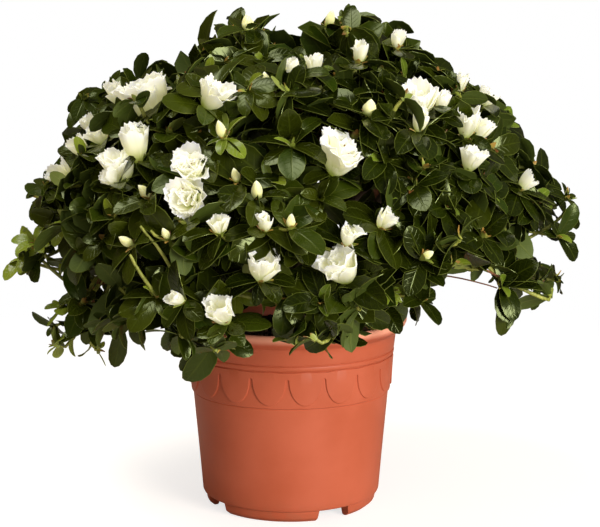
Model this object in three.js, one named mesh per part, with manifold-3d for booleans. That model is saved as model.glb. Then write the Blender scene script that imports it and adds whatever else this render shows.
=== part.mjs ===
// A potted azalea: a dome of foliage masses carried by boughs on a short stem, in a round
// three-quarter plastic pot. Millimetres, +Z up, the front of the pot towards -Y. The origin is
// on the pot's axis, at the underside of its foot.
import * as THREE from "three";
import { mergeVertices } from "three/addons/utils/BufferGeometryUtils.js";
import Module from "manifold-3d";

const wasm = await Module();
wasm.setup();

const radians = THREE.MathUtils.degToRad;
const up = new THREE.Vector3(0, 0, 1);
const seatGap = 0.35; // the clearance between one solid and what it rests on

// ---- Driving dimensions ----------------------------------------------------------------------

const lipRadius = 75; // a 15 cm pot
const potHeight = 122.5;
const wall = 1.8;
const bodyFootRadius = 57.7; // where the wall meets the foot
const bodyTopRadius = 63.2; // where the wall meets the swagged band
const footHeight = 7.5;
const floorHeight = 6; // the floor's underside, above the ground
const soilHeight = potHeight - 11;

const domeCentre = new THREE.Vector3(4, 0, 148); // on the dome's widest level
const domeReach = 170; // from its centre to the outside of the dome
const domeRise = 169; // from the widest level to the top
const domeFullness = 0.8; // 1 is an ellipsoid, and less has fuller shoulders

const massFullness = 2.6; // 2 is an ellipsoid, and more has fuller corners

const stemRadius = 7;
const flareRadius = 13;
const forkHeight = soilHeight + 34;

// ---- Solids ----------------------------------------------------------------------------------

function solid(geometry) {
  const bare = geometry.clone();
  for (const name of Object.keys(bare.attributes)) {
    if (name !== "position") bare.deleteAttribute(name);
  }
  const merged = mergeVertices(bare, 1e-4);
  return new wasm.Manifold(
    new wasm.Mesh({
      numProp: 3,
      vertProperties: merged.attributes.position.array,
      triVerts: new Uint32Array(merged.index.array),
    }),
  );
}

function geometryOf(made) {
  const mesh = made.getMesh();
  const positions = new THREE.BufferAttribute(new Float32Array(mesh.vertProperties), mesh.numProp);
  const geometry = new THREE.BufferGeometry();
  geometry.setAttribute("position", positions);
  geometry.setIndex(new THREE.BufferAttribute(mesh.triVerts, 1));
  geometry.computeVertexNormals();
  return geometry;
}

// A cut can leave a crumb beside the piece itself, so only the largest part is kept.
function largest(made) {
  return made.decompose().sort((a, b) => b.volume() - a.volume())[0];
}

function turned(profile, segments = 30) {
  const points = profile.map(([radius, height]) => new THREE.Vector2(radius, height));
  return new THREE.LatheGeometry(points, segments).rotateX(Math.PI / 2);
}

function point(azimuth, radius, height) {
  const angle = radians(azimuth);
  return new THREE.Vector3(radius * Math.cos(angle), radius * Math.sin(angle), height);
}

// ---- Pot and soil ----------------------------------------------------------------------------

// The outside of the wall from the foot to the flared lip, as [radius, height].
const outside = [
  [51.8, 0],
  [54.8, 2.6],
  [55.6, footHeight],
  [bodyFootRadius - 0.7, footHeight],
  [bodyFootRadius, 10],
  [bodyTopRadius, 73.4],
  [bodyTopRadius + 1.2, 74.6],
  [65.6, 98.6],
  [66.6, 99.2],
  [67, 102.3],
  [68, 112.5],
  [72.6, 116],
  [lipRadius, 120.2],
  [lipRadius - 0.8, potHeight],
];

// The inside of the wall, from the soil's level down to the floor.
const inside = [
  [68 - wall, 112],
  [bodyTopRadius + 1.2 - wall, 75.5],
  [bodyFootRadius - wall, 11],
  [bodyFootRadius - 2 * wall, floorHeight + wall],
];

// Wall, floor and foot ring, with the floor raised inside the ring.
function potShell() {
  const footInside = 49;
  const profile = [
    [0, floorHeight],
    [footInside - 1, floorHeight],
    [footInside, 0],
    ...outside,
    [lipRadius - 3.2, potHeight],
    [lipRadius - 5.5, 117.5],
    ...inside,
    [0, floorHeight + wall],
  ];
  return solid(turned(profile));
}

// The foot ring is cut away in four places, so that it stands on four pads.
const notchAzimuths = [0, 1, 2, 3].map((turn) => 30 + 90 * turn);
const notchHalfAngle = 11.5;

function footNotch(azimuth) {
  const half = 51 * Math.sin(radians(notchHalfAngle));
  const outline = new THREE.Shape([
    new THREE.Vector2(-half - 1.4, -1),
    new THREE.Vector2(half + 1.4, -1),
    new THREE.Vector2(half - 1.4, footHeight),
    new THREE.Vector2(-half + 1.4, footHeight),
  ]);
  const reach = 14;
  const geometry = new THREE.ExtrudeGeometry(outline, { depth: reach, bevelEnabled: false });
  // The outline stands up, and its depth runs outwards along the azimuth.
  geometry.rotateX(Math.PI / 2);
  geometry.rotateZ(radians(azimuth) + Math.PI / 2);
  const start = point(azimuth, 45, 0);
  geometry.translate(start.x, start.y, start.z);
  return solid(geometry);
}

// A small plain field for a plant label, raised on the wall's right-hand side.
function labelField() {
  const width = 20;
  const height = 17;
  const thickness = 1.6;
  const geometry = new THREE.BoxGeometry(thickness, width, height);
  geometry.rotateY(radians(4));
  geometry.translate(65.4 - thickness / 2, 0, 87);
  geometry.rotateZ(radians(12));
  return solid(geometry);
}

function pot() {
  let made = potShell().add(labelField());
  for (const azimuth of notchAzimuths) made = made.subtract(footNotch(azimuth));
  return largest(made);
}

// The soil fills the pot, and its top slopes down a little towards the wall.
function soil() {
  const side = [...inside].reverse().map(([radius, height]) => [radius - 1.3 * seatGap, height]);
  side[0][1] += seatGap;
  side.at(-1)[1] = soilHeight - 2.2;
  side.at(-1)[0] -= 0.2;
  const profile = [
    [0, floorHeight + wall + seatGap],
    ...side,
    [0.6 * lipRadius, soilHeight - 0.5],
    [flareRadius + 4, soilHeight],
    [0, soilHeight],
  ];
  return solid(turned(profile));
}

// ---- Limbs -----------------------------------------------------------------------------------

// One tapering limb: a cylinder whose rings are moved onto a smooth curve through the points.
function limb(points, radiusAt, sides = 6, steps = 4) {
  const curve = new THREE.CatmullRomCurve3(points);
  const frames = curve.computeFrenetFrames(steps, false);
  const geometry = new THREE.CylinderGeometry(1, 1, 1, sides, steps);
  const position = geometry.attributes.position;
  for (let i = 0; i < position.count; i += 1) {
    const step = Math.round((position.getY(i) + 0.5) * steps);
    const along = step / steps;
    const radius = radiusAt(along);
    const place = curve.getPointAt(along);
    place.addScaledVector(frames.normals[step], radius * position.getX(i));
    place.addScaledVector(frames.binormals[step], -radius * position.getZ(i));
    position.setXYZ(i, place.x, place.y, place.z);
  }
  return solid(geometry);
}

// The main stem leans a little to the left, flares at the soil and ends at the fork.
const stemFoot = new THREE.Vector3(3, 4, soilHeight - 3);
const fork = new THREE.Vector3(-1, 1, forkHeight);
const underground = new THREE.BoxGeometry(60, 60, 20).translate(0, 0, soilHeight + seatGap - 10);

function stem(extra = 0) {
  const middle = stemFoot.clone().lerp(fork, 0.5).add(new THREE.Vector3(1.5, 0, 0));
  const radiusAt = (along) => {
    const flare = (flareRadius - stemRadius) * Math.exp(-7 * along);
    return stemRadius + flare - 1.2 * along + extra;
  };
  return limb([stemFoot, middle, fork], radiusAt, 10, 5).subtract(solid(underground));
}

// ---- Foliage masses --------------------------------------------------------------------------

// A repeatable spread of numbers from -1 to 1.
function uneven(seed) {
  const wave = Math.sin(seed * 127.1 + 311.7) * 43758.5453;
  return 2 * (wave - Math.floor(wave)) - 1;
}

// Tiers of the dome, from the top down. Elevation is seen from the dome's centre, and width,
// height and depth are half sizes of one mass: along the tier, up the dome and into it.
const tiers = [
  { name: "top", count: 3, elevation: 69, azimuth: -160, width: 64, height: 60, depth: 29 },
  { name: "shoulder", count: 7, elevation: 43, azimuth: -76, width: 62, height: 50, depth: 30 },
  { name: "flank", count: 9, elevation: 17, azimuth: -94, width: 60, height: 46, depth: 29 },
  { name: "skirt", count: 8, elevation: -3, azimuth: -78, width: 64, height: 27, depth: 25 },
];

// Single sprays that hang or stand out past the dome.
const sprays = [
  { name: "left", at: [-164, -12, 158], width: 22, height: 14, depth: 22 },
  { name: "low_left", at: [-132, -30, 121], width: 21, height: 27, depth: 20 },
  { name: "rim_left", at: [-52, -95, 120], width: 26, height: 21, depth: 13 },
  { name: "right", at: [167, -16, 183], width: 22, height: 17, depth: 22 },
  { name: "low_right", at: [150, -30, 146], width: 25, height: 15, depth: 21 },
];

// Masses that sit off their even place in the tier, which makes the dome's outline uneven.
const shifts = {
  foliage_top_1: [10, 0, -4],
  foliage_top_3: [0, 0, -3],
  foliage_shoulder_2: [-3, 0, -3],
  foliage_shoulder_3: [-4, 0, -4],
  foliage_shoulder_6: [0, 0, -8],
  foliage_skirt_2: [0, 0, 5],
  foliage_skirt_3: [0, 0, 12],
  foliage_skirt_4: [0, 0, 6],
  foliage_skirt_7: [9, 0, 0],
  foliage_skirt_8: [4, 0, 6],
};

// The lowest tier is lifted over the front of the pot and, less, on the right.
function skirtLift(azimuth) {
  return 7 + 9 * Math.cos(radians(azimuth)) - 8 * Math.sin(radians(azimuth));
}

// The sine or cosine of an elevation, pushed out for a dome with fuller shoulders.
function full(share) {
  return Math.sign(share) * Math.abs(share) ** domeFullness;
}

function tierMass(tier, index) {
  const seed = tier.elevation + 17 * index;
  const azimuth = tier.azimuth + (360 / tier.count) * (index + 0.12 * uneven(seed));
  const elevation = radians(tier.elevation + 2.5 * uneven(seed + 1));
  const reach = (domeReach - tier.depth) * full(Math.cos(elevation)) * (1 + 0.02 * uneven(seed + 2));
  const rise = (domeRise - tier.depth) * full(Math.sin(elevation));
  const outwards = point(azimuth, reach, rise);
  const centre = outwards.clone().add(domeCentre);
  if (tier.name === "skirt") centre.z += skirtLift(azimuth);
  const name = `foliage_${tier.name}_${index + 1}`;
  centre.add(new THREE.Vector3(...(shifts[name] ?? [0, 0, 0])));
  return { ...tier, name, seed, centre, outwards };
}

function sprayMass(spray, index) {
  const centre = new THREE.Vector3(...spray.at);
  const outwards = new THREE.Vector3(centre.x, centre.y, 0);
  return { ...spray, name: `foliage_spray_${spray.name}`, seed: 900 + 7 * index, centre, outwards };
}

const masses = [
  ...tiers.flatMap((tier) => Array.from({ length: tier.count }, (_, index) => tierMass(tier, index))),
  ...sprays.map(sprayMass),
];

for (const mass of masses) {
  const outwards = mass.outwards.clone().normalize();
  const along = new THREE.Vector3().crossVectors(up, outwards).normalize();
  const upwards = new THREE.Vector3().crossVectors(outwards, along);
  mass.axes = new THREE.Matrix4().makeBasis(along, upwards, outwards);
  mass.half = new THREE.Vector3(mass.width, mass.height, mass.depth);
}

// The distance from a mass's centre to its smooth outside, in a direction.
function reachTowards(mass, direction) {
  const local = direction.clone().applyMatrix4(mass.axes.clone().transpose());
  return 1 / local.divide(mass.half).length();
}

// A full, lumpy ellipsoid: three slow waves push its surface in and out.
function lump(mass) {
  const geometry = new THREE.SphereGeometry(1, 10, 7).rotateX(Math.PI / 2);
  const position = geometry.attributes.position;
  const place = new THREE.Vector3();
  for (let i = 0; i < position.count; i += 1) {
    place.fromBufferAttribute(position, i);
    const swell =
      0.07 * Math.sin(3.1 * place.x + mass.seed) +
      0.06 * Math.sin(3.7 * place.y + 2 * mass.seed) +
      0.05 * Math.sin(4.3 * (place.x - place.y) + 3 * mass.seed);
    const spread = Math.abs(place.x) ** massFullness + Math.abs(place.y) ** massFullness;
    const fullness = (spread + Math.abs(place.z) ** massFullness) ** (-1 / massFullness);
    place.multiplyScalar(fullness * (1 + swell)).multiply(mass.half);
    place.applyMatrix4(mass.axes).add(mass.centre);
    position.setXYZ(i, place.x, place.y, place.z);
  }
  return solid(geometry);
}

// A block that fills the far side of the plane between two neighbours.
function farSide(mass, other) {
  const size = 400;
  const between = other.centre.clone().sub(mass.centre);
  const distance = between.length();
  const direction = between.clone().normalize();
  const own = reachTowards(mass, direction);
  const others = reachTowards(other, direction);
  if (1.3 * (own + others) < distance) return null;
  const plane = (distance * own) / (own + others) - seatGap / 2;
  const geometry = new THREE.BoxGeometry(size, size, size);
  geometry.applyQuaternion(new THREE.Quaternion().setFromUnitVectors(up, direction));
  const middle = mass.centre.clone().addScaledVector(direction, plane + size / 2);
  geometry.translate(middle.x, middle.y, middle.z);
  return solid(geometry);
}

// Room that the masses leave round the pot's lip and for the air above the soil.
const roomRadius = lipRadius + 2;
const roomTop = potHeight + 4;
const potRoom = solid(turned([[0, 60], [roomRadius, 60], [roomRadius, roomTop], [0, roomTop]], 16));

function foliage(mass) {
  let made = lump(mass);
  for (const other of masses) {
    if (other === mass) continue;
    const block = farSide(mass, other);
    if (block) made = made.subtract(block);
  }
  return largest(made.subtract(potRoom));
}

for (const mass of masses) mass.solid = foliage(mass);

// A mass grown a little about its centre, which a limb is cut back to.
function grown(mass) {
  const factor = 1 + seatGap / mass.depth;
  const matrix = new THREE.Matrix4().makeScale(factor, factor, factor);
  const geometry = geometryOf(mass.solid);
  geometry.translate(-mass.centre.x, -mass.centre.y, -mass.centre.z);
  geometry.applyMatrix4(matrix);
  geometry.translate(mass.centre.x, mass.centre.y, mass.centre.z);
  return solid(geometry);
}

const grownMasses = masses.map(grown);

// ---- Boughs ----------------------------------------------------------------------------------

// Each main bough leaves the stem near its fork, and each side bough leaves a main bough.
const boughs = [
  { name: "bough_front", to: "foliage_flank_1", from: 0.94 },
  { name: "bough_front_right", to: "foliage_flank_2", from: 0.8 },
  { name: "bough_right", to: "foliage_skirt_3", from: 0.64 },
  { name: "bough_back_right", to: "foliage_flank_5", from: 0.94 },
  { name: "bough_back", to: "foliage_flank_6", from: 0.76 },
  { name: "bough_left", to: "foliage_flank_8", from: 0.9 },
  { name: "bough_front_left", to: "foliage_skirt_8", from: 0.68 },
  { name: "bough_top", to: "foliage_top_1", from: 0.99 },
  { name: "side_bough_front", to: "foliage_shoulder_1", on: "bough_front", from: 0.4 },
  { name: "side_bough_right", to: "foliage_shoulder_2", on: "bough_front_right", from: 0.38 },
  { name: "side_bough_back", to: "foliage_shoulder_4", on: "bough_back_right", from: 0.38 },
  { name: "side_bough_left", to: "foliage_shoulder_6", on: "bough_left", from: 0.4 },
  { name: "side_bough_top", to: "foliage_top_2", on: "bough_top", from: 0.35 },
];

const boughRadius = 4.2;
const sideBoughRadius = 3;

function pointOnBough(name, along) {
  const carrier = boughs.find((bough) => bough.name === name);
  return new THREE.CatmullRomCurve3(boughPath(carrier)).getPointAt(along);
}

function boughPath(bough) {
  const target = masses.find((mass) => mass.name === bough.to).centre;
  const start = bough.on
    ? pointOnBough(bough.on, bough.from)
    : stemFoot.clone().lerp(fork, bough.from);
  const middle = start.clone().lerp(target, 0.5);
  middle.z += 0.07 * start.distanceTo(target);
  return [start, middle, target];
}

function boughSolid(bough, extra = 0) {
  const radius = bough.on ? sideBoughRadius : boughRadius;
  return limb(boughPath(bough), (along) => radius * (1 - 0.45 * along) + extra);
}

function cutBough(bough, index) {
  let made = boughSolid(bough).subtract(stem(seatGap));
  for (const earlier of boughs.slice(0, index)) made = made.subtract(boughSolid(earlier, seatGap));
  for (const mass of grownMasses) made = made.subtract(mass);
  return largest(made);
}

// ---- The plant -------------------------------------------------------------------------------

const terracotta = new THREE.MeshStandardMaterial({ color: 0xc4603f, roughness: 0.5, metalness: 0 });
const peat = new THREE.MeshStandardMaterial({ color: 0x2a1d15, roughness: 0.95, metalness: 0 });
const bark = new THREE.MeshStandardMaterial({ color: 0x6b4630, roughness: 0.85, metalness: 0 });
const leaves = new THREE.MeshStandardMaterial({ color: 0x26401f, roughness: 0.4, metalness: 0 });

const plant = new THREE.Group();

function addPiece(name, made, material) {
  const mesh = new THREE.Mesh(geometryOf(made), material);
  mesh.name = name;
  plant.add(mesh);
}

addPiece("pot", pot(), terracotta);
addPiece("soil", soil(), peat);
addPiece("stem", stem(), bark);
boughs.forEach((bough, index) => addPiece(bough.name, cutBough(bough, index), bark));
for (const mass of masses) addPiece(mass.name, mass.solid, leaves);

export default plant;
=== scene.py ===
# %% [markdown]
# # A potted azalea in flower
#
# This lesson dresses a plain model of a small evergreen azalea. The model gives the pot, the
# short stem, the boughs and the rounded masses of the crown. Here the pot gets its moulded
# relief, the limbs get bark, and each mass is opened up into twigs, leaves, buds and blossom.
#
# Everything is in metres, with +Z up and the front of the plant towards -Y.

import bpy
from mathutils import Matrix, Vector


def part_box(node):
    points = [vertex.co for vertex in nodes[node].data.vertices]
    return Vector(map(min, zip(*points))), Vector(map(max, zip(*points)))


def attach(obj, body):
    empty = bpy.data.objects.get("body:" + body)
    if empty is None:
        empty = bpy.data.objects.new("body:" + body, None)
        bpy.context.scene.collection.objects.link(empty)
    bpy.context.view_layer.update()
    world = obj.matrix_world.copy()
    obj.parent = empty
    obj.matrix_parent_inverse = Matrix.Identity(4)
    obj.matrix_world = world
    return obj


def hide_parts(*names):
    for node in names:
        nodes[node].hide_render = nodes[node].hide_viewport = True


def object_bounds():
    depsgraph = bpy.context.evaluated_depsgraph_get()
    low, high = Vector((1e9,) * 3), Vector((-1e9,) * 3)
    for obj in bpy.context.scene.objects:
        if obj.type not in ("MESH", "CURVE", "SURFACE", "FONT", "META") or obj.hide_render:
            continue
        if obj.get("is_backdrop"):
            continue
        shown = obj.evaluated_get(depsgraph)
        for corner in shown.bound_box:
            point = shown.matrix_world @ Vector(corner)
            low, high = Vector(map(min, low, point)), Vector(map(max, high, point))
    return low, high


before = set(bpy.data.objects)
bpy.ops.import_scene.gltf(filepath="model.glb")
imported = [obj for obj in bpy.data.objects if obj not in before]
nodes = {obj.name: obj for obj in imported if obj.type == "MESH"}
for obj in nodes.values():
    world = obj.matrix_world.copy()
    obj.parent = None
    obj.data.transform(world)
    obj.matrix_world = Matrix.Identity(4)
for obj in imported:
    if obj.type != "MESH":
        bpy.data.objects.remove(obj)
cad_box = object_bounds()
print("the plant measures", [round(side, 3) for side in cad_box[1] - cad_box[0]])

# %% Tools
import math

import bmesh
import bpy
import numpy as np
from mathutils import Matrix, Vector, noise
from mathutils.bvhtree import BVHTree

mm = 0.001
up = Vector((0, 0, 1))
chance = np.random.default_rng(1836)

# %% [markdown]
# ## Measures from the frame
#
# The driving sizes come from the frame, so that every new piece lands where the model says.
# A mass of the crown is a node whose name starts with "foliage", and a limb is the stem or a
# bough. The dome's centre is a point close to the pot's axis, a little above its lip, from which
# the places of single flowers are given.

# %% Measures
mass_names = sorted(name for name in nodes if name.startswith("foliage"))
limb_names = ["stem"] + sorted(name for name in nodes if "bough" in name)

pot_low, pot_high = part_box("pot")
lip_radius = (pot_high.x - pot_low.x) / 2
lip_height = pot_high.z
soil_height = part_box("soil")[1].z
dome_centre = Vector((4 * mm, 0, lip_height + 25.5 * mm))
print(len(mass_names), "masses and", len(limb_names), "limbs; the lip is at", round(lip_height, 4))

# %% [markdown]
# ## Small helpers for shader nodes
#
# Each finish below is a small node tree. These helpers keep it readable: one plugs a number,
# a colour or another node's output into a socket, one adds a node with its inputs in order,
# and the rest are the sums, mixes and noises that the finishes share.

# %% Node helpers
def plug(tree, socket, value):
    if isinstance(value, bpy.types.NodeSocket):
        tree.links.new(value, socket)
    elif value is not None:
        socket.default_value = value


def add(tree, kind, *values, **settings):
    made = tree.nodes.new("ShaderNode" + kind)
    for name, value in settings.items():
        setattr(made, name, value)
    for socket, value in zip(made.inputs, values):
        plug(tree, socket, value)
    return made


def maths(tree, operation, *values):
    return add(tree, "Math", *values, operation=operation).outputs[0]


def ease(tree, value, start, end, low=0.0, high=1.0):
    """Passes smoothly from low to high while the value goes from start to end."""
    made = add(tree, "MapRange", value, start, end, low, high, interpolation_type="SMOOTHSTEP")
    return made.outputs[0]


def mixed(tree, factor, first, second):
    """Mixes two colours, whose sockets come after the ones for numbers and vectors."""
    made = tree.nodes.new("ShaderNodeMix")
    made.data_type = "RGBA"
    plug(tree, made.inputs[0], factor)
    plug(tree, made.inputs[6], first)
    plug(tree, made.inputs[7], second)
    return made.outputs[2]


def speckle(tree, where, scale, detail=3.0, roughness=0.55):
    """Noise that gives a smooth value from 0 to 1, mostly near the middle."""
    made = tree.nodes.new("ShaderNodeTexNoise")
    plug(tree, made.inputs["Vector"], where)
    plug(tree, made.inputs["Scale"], scale)
    made.inputs["Detail"].default_value = detail
    made.inputs["Roughness"].default_value = roughness
    return made.outputs["Fac"]


def squeezed(tree, where, scale):
    """Coordinates scaled by another amount along each axis, which draws noise out to streaks."""
    made = tree.nodes.new("ShaderNodeMapping")
    plug(tree, made.inputs["Vector"], where)
    made.inputs["Scale"].default_value = scale
    return made.outputs[0]


def colour(red, green, blue):
    return red, green, blue, 1.0

# %% Material helpers
def new_group(name, inputs, outputs):
    """A node group, what it is given and what it puts out."""
    tree = bpy.data.node_groups.new(name, "ShaderNodeTree")
    for label, kind in inputs:
        tree.interface.new_socket(label, in_out="INPUT", socket_type="NodeSocket" + kind)
    for label, kind in outputs:
        tree.interface.new_socket(label, in_out="OUTPUT", socket_type="NodeSocket" + kind)
    given = tree.nodes.new("NodeGroupInput").outputs
    result = tree.nodes.new("NodeGroupOutput").inputs
    return tree, given, result


def use_group(tree, group, **values):
    """Places a group in a tree and plugs the values in, with _ for a space in a name."""
    made = tree.nodes.new("ShaderNodeGroup")
    made.node_tree = group
    for name, value in values.items():
        plug(tree, made.inputs[name.replace("_", " ")], value)
    return made.outputs


def new_material(name, **numbers):
    """A Principled material, with its uniform numbers set on the shader's own sockets."""
    made = bpy.data.materials.new(name)
    made.use_nodes = True
    shader = made.node_tree.nodes["Principled BSDF"]
    for socket, value in numbers.items():
        shader.inputs[socket.replace("_", " ")].default_value = value
    return made, made.node_tree, shader.inputs


def relief(tree, shader, height, distance, strength=1.0):
    """Bumps the surface up where the height is greater."""
    bump = tree.nodes.new("ShaderNodeBump")
    bump.inputs["Strength"].default_value = strength
    bump.inputs["Distance"].default_value = distance
    plug(tree, bump.inputs["Height"], height)
    plug(tree, shader["Normal"], bump.outputs[0])

# %% [markdown]
# ## Small helpers for pieces
#
# A finished mesh becomes an object at the origin that rides on the plant's one body. The helper
# for it also hides the nodes of the model that it stands for, and prints how many triangles it has.
# The last three give a point from millimetres or from an azimuth, and a matrix from three axes.

# %% Piece helpers
def new_object(name, data):
    obj = bpy.data.objects.new(name, data)
    bpy.context.collection.objects.link(obj)
    return obj


def add_piece(name, mesh, material, replaced=()):
    obj = new_object(name, mesh)
    mesh.materials.clear()
    mesh.materials.append(material)
    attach(obj, "root")
    if replaced:
        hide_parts(*replaced)
    print(f"{name}: {len(mesh.loops) - 2 * len(mesh.polygons)} triangles")


def finished_mesh(bm, name, sharp_degrees=35):
    """A smooth-shaded mesh from a bmesh, which keeps the edges sharper than an angle crisp."""
    mesh = bpy.data.meshes.new(name)
    bm.to_mesh(mesh)
    bm.free()
    mesh.shade_smooth()
    mesh.set_sharp_from_angle(angle=math.radians(sharp_degrees))
    return mesh


def at(x, y, z):
    """A point from its coordinates in millimetres."""
    return Vector((x, y, z)) * mm


def polar(azimuth, radius, height):
    """A point from its azimuth in degrees, its distance from the pot's axis and its height."""
    angle = math.radians(azimuth)
    return Vector((radius * math.cos(angle), radius * math.sin(angle), height))


def axes_matrix(place, x_axis, y_axis, z_axis):
    """A matrix that moves the origin to a place and turns X, Y and Z to the given axes."""
    turn = Matrix((x_axis, y_axis, z_axis)).transposed().to_4x4()
    return Matrix.Translation(place) @ turn

# %% [markdown]
# ## The pot's wall
#
# The pot is injection-moulded plastic: one wall turned about the axis, with a flared lip, a
# plain collar, a bead between two grooves, a band for the ornament and a body that tapers to
# the foot. The profile is spun once round, and the inside is part of the same closed shell.

# %% Pot: the spun wall
# Radius and height of the wall's corners in millimetres, from the middle of the underside,
# out and up to the lip, and down the inside to the floor.
wall_profile = [
    (0, 6.0), (47.0, 6.0), (47.8, 6.4), (48.2, 7.5), (56.2, 7.5), (57.0, 8.0), (57.5, 9.2),
    (57.75, 12), (59.0, 27), (60.4, 43), (61.8, 58), (63.15, 73.2), (63.3, 74.1), (63.1, 74.5),
    (63.3, 74.9), (64.3, 75.4), (64.5, 76.2), (65.0, 86), (65.55, 97.6), (65.6, 98.3),
    (65.7, 98.6), (65.9, 98.9), (66.5, 99.3), (66.8, 99.9), (66.9, 101.2), (66.7, 101.8),
    (66.25, 102.1), (66.3, 102.5), (66.8, 102.9), (67.0, 103.7), (67.6, 109), (67.95, 112),
    (68.6, 113.1), (70.2, 114.2), (72.2, 115.7), (73.9, 117.7), (74.8, 119.6), (75.0, 120.9),
    (74.7, 122), (73.9, 122.5), (72.9, 122.4), (71.6, 121.2), (69.6, 118.3), (67.4, 115),
    (66.2, 112), (64.9, 102), (63.8, 99), (61.8, 75), (61.2, 72), (55.9, 12), (54.6, 9),
    (52.6, 7.9), (0, 7.8),
]
spin_steps = 180


def turned(profile, steps=spin_steps):
    """A closed shell of revolution about the Z axis from (radius, height) in millimetres."""
    bm = bmesh.new()
    points = [bm.verts.new((radius * mm, 0, height * mm)) for radius, height in profile]
    edges = [bm.edges.new(pair) for pair in zip(points, points[1:])]
    bmesh.ops.spin(
        bm, geom=points + edges, axis=up, cent=(0, 0, 0), angle=2 * math.pi,
        steps=steps, use_merge=True, dvec=(0, 0, 0),
    )
    bmesh.ops.remove_doubles(bm, verts=bm.verts, dist=1e-6)
    bmesh.ops.recalc_face_normals(bm, faces=bm.faces)
    return bm


def join_in(bm, other):
    """Moves another bmesh's faces into bm, and frees it."""
    carrier = bpy.data.meshes.new("carrier")
    other.to_mesh(carrier)
    other.free()
    bm.from_mesh(carrier)
    bpy.data.meshes.remove(carrier)


pot = turned(wall_profile)
print("the wall has", len(pot.faces), "faces")

# %% [markdown]
# ## The scalloped ornament
#
# Round the band runs a thin raised layer with a hem of eighteen round tongues, parted by narrow
# slits. One tongue is a strip of quads whose lower edge follows the hem. Its last rows turn in
# to the band, which gives the small step that catches the light. The strip is copied round by a
# spin, merged, and bridged behind into a closed ring.

# %% Pot: the hem's outline
tongue_count = 18
tongue_pitch = 2 * math.pi / tongue_count
first_slit = math.radians(-91.5)
slit_half = 1.35 * mm
slit_angle = slit_half / (65 * mm)
slit_share = 0.1
hem_shoulder, hem_low = 93.0 * mm, 77.6 * mm
layer_top = 98.1 * mm
layer_rise = 0.85 * mm
band_low, band_high = (64.5 * mm, 76.2 * mm), (65.55 * mm, 97.6 * mm)


def band_radius(height):
    share = (height - band_low[1]) / (band_high[1] - band_low[1])
    return band_low[0] + share * (band_high[0] - band_low[0])


def hem(share):
    """The hem's angle and height, for a share from 0 to 1 of one tongue's pitch."""
    whole = math.floor(share)
    share -= whole
    beside = min(share, 1 - share)
    if beside < slit_share:
        turn = beside / slit_share * math.pi / 2
        angle = slit_angle * math.sin(turn)
        height = hem_shoulder + slit_half * math.cos(turn)
    else:
        turn = math.pi * (beside - slit_share) / (1 - 2 * slit_share)
        half = tongue_pitch / 2 - slit_angle
        angle = tongue_pitch / 2 - half * math.cos(turn)
        height = hem_shoulder - (hem_shoulder - hem_low) * math.sin(turn)
    if share > 0.5:
        angle = tongue_pitch - angle
    return angle + whole * tongue_pitch, height

# %% Pot: the raised layer
hem_columns = 44
# Each row of the strip: the share of the way down to the hem, the distance past the hem in
# millimetres, and the share of the layer's rise.
layer_rows = [
    (-0.03, 0, -0.5), (-0.02, 0, 0.7), (0, 0, 1), (0.4, 0, 1), (0.8, 0, 1), (0.95, 0, 1),
    (1, 0, 1), (1, 0.2, 0.9), (1, 0.38, 0.62), (1, 0.46, 0.3), (1, 0.5, -0.5),
]


def layer_point(share, row):
    """A corner of the strip: a share of the tongue's pitch round, on one of the rows."""
    down, past, rise = layer_rows[row]
    angle, low = hem(share)
    ahead, behind = hem(share + 0.004), hem(share - 0.004)
    along = Vector(((ahead[0] - behind[0]) * band_low[0], ahead[1] - behind[1])).normalized()
    angle = share * tongue_pitch + (angle - share * tongue_pitch) * max(down, 0) ** 0.5
    angle += along.y * past * mm / band_low[0]
    height = layer_top + (low - layer_top) * down - along.x * past * mm
    radius = band_radius(height) + rise * layer_rise
    turn = first_slit + angle
    return Vector((radius * math.cos(turn), radius * math.sin(turn), height))


def raised_layer():
    """All the tongues as one closed ring."""
    layer = bmesh.new()
    last = len(layer_rows) - 1
    bmesh.ops.create_grid(layer, x_segments=hem_columns, y_segments=last, size=0.5)
    for vert in layer.verts:
        vert.co = layer_point(vert.co.x + 0.5, round((vert.co.y + 0.5) * last))
    bmesh.ops.spin(
        layer, geom=layer.verts[:] + layer.edges[:] + layer.faces[:], axis=up, cent=(0, 0, 0),
        angle=2 * math.pi * (tongue_count - 1) / tongue_count, steps=tongue_count - 1,
        use_duplicate=True, dvec=(0, 0, 0),
    )
    bmesh.ops.remove_doubles(layer, verts=layer.verts, dist=0.02 * mm)
    rims = [edge for edge in layer.edges if edge.is_boundary]
    bmesh.ops.bridge_loops(layer, edges=rims)
    bmesh.ops.recalc_face_normals(layer, faces=layer.faces)
    print("the raised layer has", len(layer.faces), "faces and", len(rims), "rim edges")
    return layer


join_in(pot, raised_layer())

# %% [markdown]
# ## The foot and the label field
#
# The pot stands on four pads, the parts of a foot ring that four drain notches leave. Each pad
# is a section spun through part of a turn, with its ends sloped and closed. High on one side
# the mould leaves a small raised field for a label, which is a bevelled block here, left blank.

# %% Pot: pads and label field
pad_section = [(48.2, 7.9), (48.9, 0.8), (49.6, 0), (51.8, 0), (54.5, 2.2), (54.9, 3), (55.6, 7.9)]
notch_half = 11.5
pad_spans = [(start + notch_half, start + 90 - notch_half) for start in (-150, -60, 30, 120)]
pad_height = 7.5 * mm
pad_end_slope = 1.4


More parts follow.
